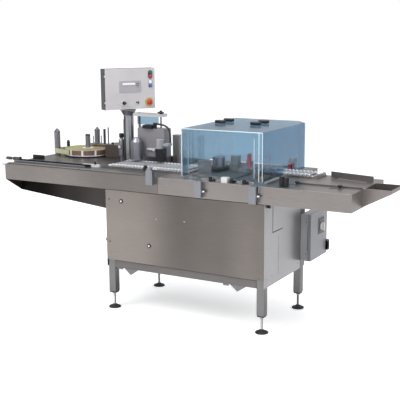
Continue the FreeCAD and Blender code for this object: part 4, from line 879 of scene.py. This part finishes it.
def drum_and_turret():
    drum = Extent("wrap_drum")
    radius, tall = drum.size.x / 2, drum.size.z
    shape = Shape()
    shape.lathe(drum.foot, "z",
                [(SHAFT_BORE, 0), (radius - 3, 0), (radius, 3), (radius, 18), (radius - 3, 22),
                 (radius - 16, 22), (radius - 18, 20.5), (41, 20.5)], black_rubber, 64)
    shape.lathe(drum.foot, "z",
                [(40, 20), (40, tall - 30), (38, tall - 29), (38, tall - 26), (40, tall - 25),
                 (40, tall - 3), (37, tall), (22, tall), (20, tall - 2), (9, tall - 2),
                 (SHAFT_BORE, tall - 2), (SHAFT_BORE, 1)], aluminium_matt, 64)
    bolt_circle(shape, drum.foot + Vector((0, 0, tall - 2)), 6, 29, 15)
    shape.done("wrap_drum_turned", "wrap_drum", ["wrap_drum"], "drum_black", 0)

    shape = Shape().node("star_turret", steel_bright)
    bolt_circle(shape, Extent("star_turret").foot + Vector((0, 0, 12)), 8, 30)
    shape.done("star_turret_turned", "star_turret", ["star_turret"], "aluminium_part", 0.8)


def press_rollers():
    for name in ("press_roller_front", "press_roller_rear"):
        roller = Extent(name)
        radius, tall = roller.size.x / 2, roller.size.z
        core = radius - 1.5
        shape = Shape()
        shape.lathe(roller.foot, "z", [(STUD_BORE, 0), (core, 0), (core, 4)], steel_bright, 36)
        shape.lathe(roller.foot, "z",
                    [(radius - 3, 4), (radius - 0.8, 4), (radius, 5), (radius, tall - 5),
                     (radius - 0.8, tall - 4), (radius - 3, tall - 4)], red_rubber, 40)
        shape.lathe(roller.foot, "z", [(core, tall - 4), (core, tall), (STUD_BORE, tall), (STUD_BORE, 0)],
                    steel_bright, 36)
        shape.done(name + "_sleeve", name, [name], "roller_red", 0)


def hood():
    """Blue tinted panels, with a plain clear wall in front."""
    panels = Shape().node("guard_hood", acrylic_blue)
    whole = Extent("guard_hood")
    wall = 5
    panels.paint([face for face in panels.mesh.faces if abs(face.normal.y) > 0.9
                  and face.calc_center_median().y < whole.front + 2 * wall], acrylic_plain)
    # the top faces take a lighter, bluer acrylic as a painted sheen
    panels.paint([face for face in panels.mesh.faces if abs(face.normal.z) > 0.9
                  and face.calc_center_median().z > whole.top - 2 * wall], acrylic_top_painted_sheen)
    panels.done("hood_panels", "guard_hood", ["guard_hood"], "clear_hood", 1)

    # pale rods along the acrylic's joints: a painted highlight of its edges
    edges = Shape()
    inset, radius, chamfer = 3, 2.4, 0.5
    left, right = whole.left + inset, whole.right - inset
    low, high = whole.bottom + inset, whole.top - inset
    front = whole.front + 4 + inset
    sheet_top = high - 12
    for x, y, top in ((left, whole.front + inset, sheet_top), (left, front + 73, high),
                      (right, front, high), (right - 23, front, high)):
        edges.rod((x, y, low), (x, y, top), radius, acrylic_edge_painted_highlight, 12, chamfer)
    seam = whole.left + 499.5
    edges.rod((seam, whole.front + 2, low + 22), (seam, whole.front + 2, high - 34), 1.8, acrylic_edge_painted_highlight, 12)
    edges.rod((left, front, high), (right, front, high), radius, acrylic_edge_painted_highlight, 12, chamfer)
    edges.rod((left, front, high), (left, whole.back - 12, high), radius, acrylic_edge_painted_highlight, 12, chamfer)
    edges.done("hood_joints", "guard_hood", (), "clear_hood", 0)

    carry("hood_grips", "hood_grip_caps", black_plastic, "black_plastic", 6, 4, "guard_hood")
    carry("hood_hinges", "hood_hinge_seats", steel_bright, "steel_bright", 0.4)


# ---------------------------------------------------------------- brackets, hand wheel and outfeed rails

def front_hardware():
    carry("front_brackets", "standoff_blocks", aluminium_matt, "aluminium_part", 1.8, 3,
          finishes=[aluminium_matt, aluminium, acrylic_plain, acrylic_plain, aluminium_matt, steel_bright,
                    steel_bright, black_plastic, cream_plastic, black_plastic, black_plastic,
                    aluminium_matt, steel_bright, steel_bright, black_plastic])
    wheel = Extent("hand_wheel")
    radius = wheel.size.z / 2
    at = (wheel.left, wheel.centre.y, wheel.centre.z)
    shape = Shape()
    shape.lathe(at, "x",
                [(7, 0.5), (radius * 0.72, 0), (radius * 0.9, 1.5), (radius, 4), (radius, 9),
                 (radius * 0.85, 12), (7, 13)], black_plastic, 96, 12, 1.6, (3, 4))
    shape.lathe(at, "x", [(7, 12), (9, 13), (9, 15.5), (5, 16)], black_plastic, 32)
    shape.rod((wheel.left + 12, wheel.centre.y, wheel.centre.z),
              (wheel.right, wheel.centre.y, wheel.centre.z), 5, steel_bright, 28, 0.8)
    shape.done("hand_wheel_turned", "hand_wheel", ["hand_wheel"], "black_plastic", 0)


def outfeed():
    carry("outfeed_rails", "outfeed_fence", steel_rail_painted_shade, "steel_bright", 0.6)
    for name in ("star_knob_left", "star_knob_right"):
        star_knob(name)


def star_knob(name):
    """A five-lobed clamping knob over a plain boss."""
    knob = Extent(name)
    radius, tall = 15, knob.size.z
    shape = Shape()
    shape.lathe(knob.foot, "z",
                [(STUD_BORE, 0), (radius * 0.5, 0), (radius * 0.52, 4), (radius * 0.9, 5.5), (radius, 7.5),
                 (radius, tall - 3.5), (radius * 0.88, tall - 0.8), (radius * 0.5, tall), (STUD_BORE, tall),
                 (STUD_BORE, 0.5)], black_plastic, 100, 5, 3.4, (3, 4, 5, 6))
    shape.done(name + "_lobed", name, [name], "black_plastic", 0)


# ---------------------------------------------------------------- label reel

def label_web():
    """The label web from the roll's far side round the left guide roller."""
    roll = Extent("label_roll")
    left = Extent("guide_roller_left")
    thick, wide = 0.4, 34
    big, small = roll.size.x / 2 + 0.3, left.size.x / 2 + 0.3
    start, end = roll.centre.xy, left.centre.xy
    apart = end - start
    heading = math.atan2(apart.y, apart.x)
    spread = math.acos((big - small) / apart.length)
    low = (0, 0, roll.bottom + 3)
    shape = Shape()
    for swing in (heading + spread, heading - spread):
        out = Vector((math.cos(swing), math.sin(swing)))
        near, far = start + out * big, end + out * small
        back = out * thick
        shape.prism([tuple(near), tuple(far), tuple(far + back), tuple(near + back)], wide, web_paper, "z",
                    low)
    steps = 16
    swings = [heading - spread + 2 * spread * step / steps for step in range(steps + 1)]
    shape.prism([(end.x + reach * math.cos(swing), end.y + reach * math.sin(swing)) for reach,
                 way in ((small, 1), (small + thick, -1)) for swing in swings[::way]], wide, web_paper, "z",
                low)
    shape.done("label_web", "machine", (), "label_paper", 0)


def reel():
    platter = Extent("reel_platter")
    radius, tall = platter.size.x / 2, platter.size.z
    shape = Shape()
    shape.lathe(platter.foot, "z",
                [(8.06, 0), (radius - 1, 0), (radius, 1), (radius, 5), (radius - 1, 6), (38.5, 6)],
                aluminium, 96)
    shape.lathe(platter.foot, "z", [(37.4, 5.5), (37.4, 25), (36, 26), (18.5, 26)], aluminium_matt, 64)
    shape.lathe(platter.foot, "z", [(18, 25), (18, tall - 14), (17, tall - 13.5), (17, tall - 12)],
                aluminium_matt, 56)
    shape.lathe(platter.foot, "z",
                [(12, tall - 12.2), (18, tall - 12), (18, tall - 3), (15, tall), (13, tall), (12, tall - 3),
                 (0, tall - 3)], steel_dark, 56)
    shape.done("reel_platter_turned", "label_reel", ["reel_platter"], "aluminium_part", 0)


def label_roll():
    roll = Extent("label_roll")
    roll_face = roll_top("roll_face", roll.centre * MM)
    outer, core, tall = roll.size.x / 2, 38, roll.size.z
    shape = Shape()
    shape.lathe(roll.foot, "z",
                [(core + 0.1, 0.2), (core + 0.1, tall - 1), (core + 3, tall - 0.4),
                 (core + 3.4, tall - 1.2)], cream_plastic, 72)
    shape.lathe(roll.foot, "z",
                [(core + 3.4, tall - 1.4), (core + 30, tall - 0.5), (core + 62, tall - 1.2),
                 (core + 96, tall - 0.2), (outer - 2, tall - 0.5), (outer - 0.4, tall - 1.4)], roll_face,
                96)
    # the outermost turn shows the labels on their backing, one after another round the roll
    count, steps, covered = 11, 8, 0.84
    for number in range(count):
        turns = [2 * math.pi / count * (number + covered * step / steps) for step in range(steps + 1)]
        shape.prism([(reach * math.cos(turn), reach * math.sin(turn)) for reach,
                     way in ((outer, 1), (outer - 1, -1)) for turn in turns[::way]], tall - 7,
                    paper_backing, "z", roll.foot + Vector((0, 0, 3.5)))
    shape.lathe(roll.foot, "z", [(outer - 0.6, tall - 1.4), (outer - 0.6, 0.4), (core + 4, 0.4)],
                paper_white, 96)
    shape.done("label_roll_wound", "label_reel", ["label_roll"], "label_paper", 0)


def guide_rollers():
    left, pointed = Extent("guide_roller_left"), Extent("guide_roller_cone")
    blunt = left.size.x / 2
    sharp = pointed.size.x / 2
    for node, relief, head, tip in ((left, 1.2, 26,
                                     [(blunt, 23), (blunt * 0.9, 20), (blunt * 0.3, 2), (blunt * 0.2, 0),
                                      (0, 0)]),
                                    (pointed, 1, 32,
                                     [(sharp, 27), (sharp * 0.85, 22), (4, 3), (3, 0.5), (0, 0)])):
        name = "guide_roller_left" if node is left else "guide_roller_cone"
        radius, tall = node.size.x / 2, node.size.z
        shape = Shape()
        shape.lathe(node.foot, "z",
                    [(STUD_BORE, 0), (radius, 0), (radius, 3), (radius - relief, 4),
                     (radius - relief, tall - head)], aluminium_matt, 56)
        shape.lathe(node.foot, "z",
                    [(STUD_BORE, tall - head - 0.2),
                     (radius, tall - head)] + [(reach, tall - below) for reach, below in tip], steel_dark,
                    56)
        shape.done(name + "_turned", name, [name], "aluminium_part", 0)


def reel_fittings():
    carry("reel_studs", "reel_stud_pieces", steel_bright, "steel_bright", 0.5,
          finishes=[steel_bright, black_plastic, steel_bright])
    carry("rewind_box", "rewind_box_painted", brown_metal, "box_brown", 1.6, 3,
          finishes=[brown_metal, steel_dark, steel_bright, steel_dark, steel_dark, steel_dark, brown_dark,
                    steel_dark])


# ---------------------------------------------------------------- post and label head

def post():
    node = Extent("main_post")
    tall = node.size.z
    radius = 33
    collar = 55
    shape = Shape()
    shape.lathe(node.foot, "z", [(36.8, 0), (36.8, 11), (35.8, 12), (radius + 0.5, 12)], aluminium_matt, 64)
    shape.lathe(node.foot, "z",
                [(radius, 1), (radius, tall - 37), (radius + 3, tall - 36), (radius + 6, tall - 30),
                 (collar - 1, tall - 4), (collar, tall - 3), (collar, tall), (20, tall)], post_metal, 64)
    # lengthwise ribs of the extrusion, dark strips that paint the round post's dark reflection band, and
    # its cable channel
    for angles, reach, low, width, finish in (((-76, -62, -30, 10, 40, 80, 120, 170), radius, 12, 2.6,
                                               steel_polished),
                                              ((-114, -104, 64), radius - 1, 14, 3, black_plastic)):
        for angle in angles:
            turn = math.radians(angle)
            side = node.foot + reach * Vector((math.cos(turn), math.sin(turn), 0))
            shape.rod(side + Vector((0, 0, low)), side + Vector((0, 0, tall - 42)), width, finish, 12)
    shape.block(node.foot + Vector((-radius - 5, -9, 10)), node.foot + Vector((-radius + 4, 9, tall - 67)),
                black_plastic)
    shape.done("main_post_extruded", "machine", ["main_post"], "aluminium_part", 0.4)


def label_head():
    head = Extent("label_head")
    finishes = [aluminium_matt, aluminium_matt, head_paint, motor_paint, steel_bright, black_plastic,
                brown_dark, grey_plastic, black_plastic, column_grey]
    shape = Shape().node("label_head", head_paint, finishes)
    bar = [face for face in shape.mesh.faces if face.calc_center_median().z > head.top - 18]
    shape.paint(bar, bar_steel)
    shape.done("label_head_body", "machine", ["label_head"], "head_grey", 1.8, 3)
    carry("head_window", "head_window_sheet", window_blue, "clear_window", 0.8)

    # cooling ribs of the small motor on top
    shape = Shape()
    motor = Vector((head.left + 97, head.front + 55, head.top - 98))
    for number in range(8):
        rib = motor + Vector((9 * number, 0, 0))
        shape.block(rib, rib + Vector((4, 50, 24)), motor_paint)
    shape.done("head_motor_ribs", "machine", (), "motor_grey", 0.6)


def head_knob_and_arm():
    knob = Extent("head_knob")
    tall = knob.size.z
    radius = 24
    shape = Shape()
    shape.lathe(knob.foot, "z", [(4.4, 0), (5, 0.8), (5, 95.5)], black_plastic, 32)
    shape.lathe(knob.foot, "z",
                [(5, 95.2), (10.4, 95.2), (12, 97.2), (radius * 0.92, 98.2), (radius, 99.5),
                 (radius, 104.5), (radius * 0.9, 106), (12, 109), (8, 110.5), (7.6, tall - 2), (6, tall),
                 (0, tall)], black_plastic, 100, 5, 8, (3, 4, 5, 6))
    shape.done("head_knob_lobed", "head_knob", ["head_knob"], "black_plastic", 0)
    carry("press_arm", "press_arm_moulded", white_plastic, "arm_white", 1.4, 3, "press_arm")


def air_regulator():
    at = Extent("air_regulator").foot
    shape = Shape()
    shape.lathe(at, "z",
                [(12, 0), (12, 33), (15, 36), (20, 41), (20, 62), (19, 63), (19, 66), (20, 67), (20, 146),
                 (18, 152), (12, 159), (11, 166)], aluminium_matt, 48)
    shape.lathe(at, "z", [(11, 165), (15, 167), (16, 169), (16, 191), (13, 195.5), (0, 196)], black_plastic,
                72, 12, 1.2, (2, 3))
    gauge = at + Vector((0, -18, 104))
    shape.lathe(gauge, TO_FRONT, [(12, 0), (13, 3), (13, 9), (11.5, 10), (11, 9), (0, 9)], black_plastic,
                36)
    shape.lathe(gauge + Vector((0, -9.2, 0)), TO_FRONT, [(10.6, 0), (10.6, 0.4)], white_plastic, 36)
    shape.done("air_regulator_body", "machine", ["air_regulator"], "aluminium_part", 0)


def air_line():
    """The short black hose from the top of the label head down to the fitting beside it."""
    route = ((-0.31875, 0.0465, 1.176), (-0.26675, 0.0465, 1.176), (-0.21775, 0.0465, 1.150),
             (-0.20975, 0.0465, 1.100), (-0.20975, 0.0465, 1.052))
    curve = bpy.data.curves.new("air_hose_line", "CURVE")
    curve.dimensions = "3D"
    line = curve.splines.new("NURBS")
    line.points.add(len(route) - 1)
    for point, place in zip(line.points, route):
        point.co = (*place, 1.0)
    line.order_u = 3
    line.use_endpoint_u = True
    line.resolution_u = 16
    curve.bevel_depth = HOSE / 2
    curve.bevel_resolution = 6
    curve.use_fill_caps = True
    curve.materials.append(black_rubber)
    hose = bpy.data.objects.new("air_hose_line", curve)
    bpy.context.scene.collection.objects.link(hose)
    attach(hose, "machine")
    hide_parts("air_hose")


# ---------------------------------------------------------------- control box

inward = Vector(joint("start_button_press")["axis"])
post_box = Extent("main_post")
PANEL = (Matrix.Translation((post_box.centre.x * MM, post_box.centre.y * MM, 0))
         @ Matrix.Rotation(math.atan2(-inward.x, inward.y), 4, "Z"))


def panel_extent(node):
    return Extent(node, axes=PANEL)


FACE = panel_extent("control_door").front + 3


def control_box():
    # the shell takes the near-black painted shade of its sides
    shell = Shape(PANEL).node("control_box", box_side_painted_shade)
    shell.done("control_box_shell", "panel_box", ["control_box"], "box_grey", 3, 3)
    door = panel_extent("control_door")
    stop_all = panel_extent("emergency_stop")
    shape = Shape(PANEL).node("control_door", box_paint)
    middles = [(part, part.calc_center_median()) for part in shape.mesh.faces]
    # the yellow disc behind the emergency stop stands proud of the sheet
    shape.paint([part for part,
                 middle in middles if middle.y < FACE - 0.3 and (middle - stop_all.centre).length < 60],
                yellow_plastic)
    # the hinge knuckles at the door's left edge get the same painted shade
    shape.paint([part for part, middle in middles if middle.x < door.left + 9 and middle.y > FACE + 0.4],
                box_side_painted_shade)
    shape.done("control_door_sheet", "panel_door", ["control_door"], "box_grey", 0.8)


def button_bezels():
    """Lamp and buttons stand in pairs, each pair on an oval bezel."""
    lamp_gap = 26
    bezels = Shape(PANEL)
    for upper, lower, finish in (("start_button", "stop_button", motor_paint),
                                 (None, "reset_button", steel_bright)):
        x, _, low = panel_extent(lower).centre
        top = panel_extent(upper).centre.z if upper else low + lamp_gap
        outer = rounded(33, top - low + 33, 16, (x, (top + low) / 2), 8)
        bezels.prism(outer, -0.4, finish, "y", (0, FACE, 0))
    bezels.done("button_bezels", "panel_door", (), "black_plastic", 0)


def display_panel():
    """The recessed screen with its keys, and the white lamp above the reset button."""
    display = panel_extent("display_unit")
    left, wide, tall = display.left, 161, display.size.z
    right, high = left + wide, display.top
    middle = (left + wide / 2, display.centre.z)
    plate = Shape(PANEL)
    plate.ring(rounded(wide, tall, 6, middle), rounded(wide - 16, tall - 16, 3, middle), -3,
               display_plastic, "y", (0, FACE, 0))
    plate.prism(rounded(wide - 15, tall - 15, 3, middle), -1.4, display_plastic, "y", (0, FACE, 0))
    screen_low, screen_high = high - 27, high - 13
    plate.block((left + 21, FACE - 2.4, screen_low - 3), (right - 40, FACE - 1.2, screen_high + 3),
                display_plastic)
    plate.block((left + 25, FACE - 2.8, screen_low), (right - 44, FACE - 2.2, screen_high), screen_glow)
    short, long = 7, 17
    for row, column, width, finish in ((0, 0, short, motor_paint), (0, 1, short, motor_paint),
                                       (1, 0, short, motor_paint), (1, 1, short, motor_paint),
                                       (2, 0, long, key_green)):
        x = right - 31 + 11 * column + (width - short) / 2
        plate.prism(rounded(width, 6, 1.2, (x, high - 21 - 10.5 * row)), -1.3, finish, "y",
                    (0, FACE - 1.4, 0))
    lamp = (panel_extent("start_button").centre.x, FACE, display.bottom + 66)
    plate.lathe(lamp, TO_FRONT, [(13.5, 0), (14, 1), (12.5, 2.4), (11, 2.4)], steel_bright, 40)
    plate.lathe(lamp, TO_FRONT, [(11, 1), (11, 3.5), (9.5, 5), (0, 6)], lamp_white, 40)
    plate.done("display_panel", "panel_door", ["display_unit"], "display_grey", 0)


def push_buttons():
    """Round caps on their stems, each inside a fixed ring."""
    caps = (("start_button", button_green, "button_green", 3), ("stop_button", button_red, "button_red", 4),
            ("reset_button", button_blue, "button_blue", 3))
    rims = Shape(PANEL)
    for node, _, _, _ in caps:
        x, _, z = panel_extent(node).centre
        rims.ring(rounded(25, 25, 12.45, (x, z), 12), rounded(22.7, 22.7, 11.3, (x, z), 12), -1.9,
                  steel_bright, "y", (0, FACE, 0))
    rims.done("operator_rims", "panel_door", (), "steel_bright", 0)
    for node, finish, slot, thick in caps:
        button = panel_extent(node)
        radius, run = button.size.x / 2, button.size.y
        low = run - thick
        cap = Shape(PANEL)
        cap.lathe(button.rear, TO_FRONT, [(STEM, 0), (STEM, low + 0.2)], black_plastic, 32)
        cap.lathe(button.rear, TO_FRONT,
                  [(radius - 0.2, low), (radius, low + 0.4), (radius, run - 1.4), (radius - 1.2, run - 0.4),
                   (radius - 3.2, run), (0, run - 0.8)], finish, 40)
        cap.done(node + "_cap", node, [node], slot, 0)


def emergency_stop():
    stop_all = panel_extent("emergency_stop")
    run = stop_all.size.y
    cap = Shape(PANEL)
    cap.lathe(stop_all.rear, TO_FRONT, [(STEM, 0), (STEM, run - 8.6)], black_plastic, 32)
    cap.lathe(stop_all.rear, TO_FRONT,
              [(14, run - 8.7), (16.6, run - 8), (18, run - 6.5), (18, run - 4.5), (16.5, run - 2),
               (12, run - 0.5), (0, run)], button_red, 56)
    cap.done("emergency_stop_mushroom", "emergency_stop", ["emergency_stop"], "button_red", 0)


def speed_knob():
    knob = panel_extent("speed_knob")
    run = knob.size.y
    cap = Shape(PANEL)
    cap.lathe(knob.rear, TO_FRONT, [(STEM, 0), (STEM, run - 16)], black_plastic, 32)
    cap.lathe(knob.rear, TO_FRONT, [(18.5, run - 17.6), (19, run - 17), (18.5, run - 15.2), (13, run - 15)],
              white_plastic, 56)
    cap.lathe(knob.rear, TO_FRONT,
              [(13, run - 15.2), (13, run - 13), (11.8, run - 2), (10.5, run), (0, run)], black_plastic, 72,
              18, 0.7, (1, 2))
    pointer = Vector((knob.centre.x, knob.front, knob.centre.z))
    cap.block(pointer + Vector((-0.8, -0.2, 0)), pointer + Vector((0.8, 3, 10)), white_plastic)
    cap.done("speed_knob_fluted", "speed_knob", ["speed_knob"], "black_plastic", 0)


def key_switch():
    key = panel_extent("key_switch")
    barrel = 20
    cap = Shape(PANEL)
    cap.lathe(key.rear, TO_FRONT,
              [(STEM, 0), (STEM, 16), (12, 16.4), (12, 19), (10.5, barrel), (0, barrel)], steel_bright, 40)
    x, _, z = key.centre
    cap.prism(rounded(18, 14, 6), 2.2, black_plastic, "x", (x - 1.1, key.front + 7, z))
    cap.block((x - 1, key.front + 10, z - 3.5), (x + 1, key.back - barrel + 1, z + 3.5), steel_bright)
    cap.done("key_switch_and_key", "key_switch", ["key_switch"], "steel_bright", 0.4)


# ---------------------------------------------------------------- switch box

def switch_box():
    carry("switch_box", "switch_box_shell", switch_side, "box_grey", 2, 3)
    carry("switch_door", "switch_lid", switch_paint, "box_grey", 2, 3, "switch_door")
    lid = Extent("switch_door")
    handle = Extent("isolator_handle")
    face = handle.left + 8
    y, z = handle.centre.y, handle.centre.z
    edge = lid.back - 8
    latch = (edge - 7, lid.bottom + 55)
    plate = Shape()
    plate.prism(rounded(86, 104, 5, (y, z + 6)), 4, motor_paint, "x", (face, 0, 0))
    plate.prism(rounded(74, 90, 4, (y, z + 6)), 4.6, plate_grey, "x", (face, 0, 0))
    # the black latch that wraps the lid's free edge
    plate.prism(rounded(30, 68, 5, latch), 17, black_plastic, "x", (face - 0.5, 0, 0))
    plate.prism(rounded(18, 40, 5, latch), 20, black_rubber, "x", (face - 0.5, 0, 0))
    for screw_z in (lid.bottom + 18, lid.top - 18):
        for screw_y in (lid.front + 25, edge - 16):
            screw(plate, (face, screw_y, screw_z), "x", 4.5)
    plate.done("switch_lid_plate", "switch_door", (), "box_grey", 0.8)

    shape = Shape()
    shape.lathe((handle.left, y, z), "x", [(STEM, 0), (STEM, 11)], black_plastic, 32)
    shape.lathe((handle.left, y, z), "x", [(22, 12.8), (24, 13.2), (24, 15.5), (22, 17), (0, 17)],
                cream_plastic, 56)
    shape.prism(rounded(15, 53, 6, (y, z)), handle.size.x - 16, cream_plastic, "x",
                (handle.left + 16, 0, 0))
    shape.done("isolator_knob", "isolator_handle", ["isolator_handle"], "knob_cream", 1.2, 3)


camera_and_lights()
air_line()
frame_and_feet()
covers()
panel_locks()
deck()
rails()
roller_chain("infeed")
roller_chain("outfeed")
chain_frames()
wrapping_station()
drum_and_turret()
press_rollers()
hood()
front_hardware()
outfeed()
reel()
label_roll()
guide_rollers()
reel_fittings()
label_web()
post()
label_head()
head_knob_and_arm()
air_regulator()
control_box()
button_bezels()
display_panel()
push_buttons()
emergency_stop()
speed_knob()
key_switch()
switch_box()
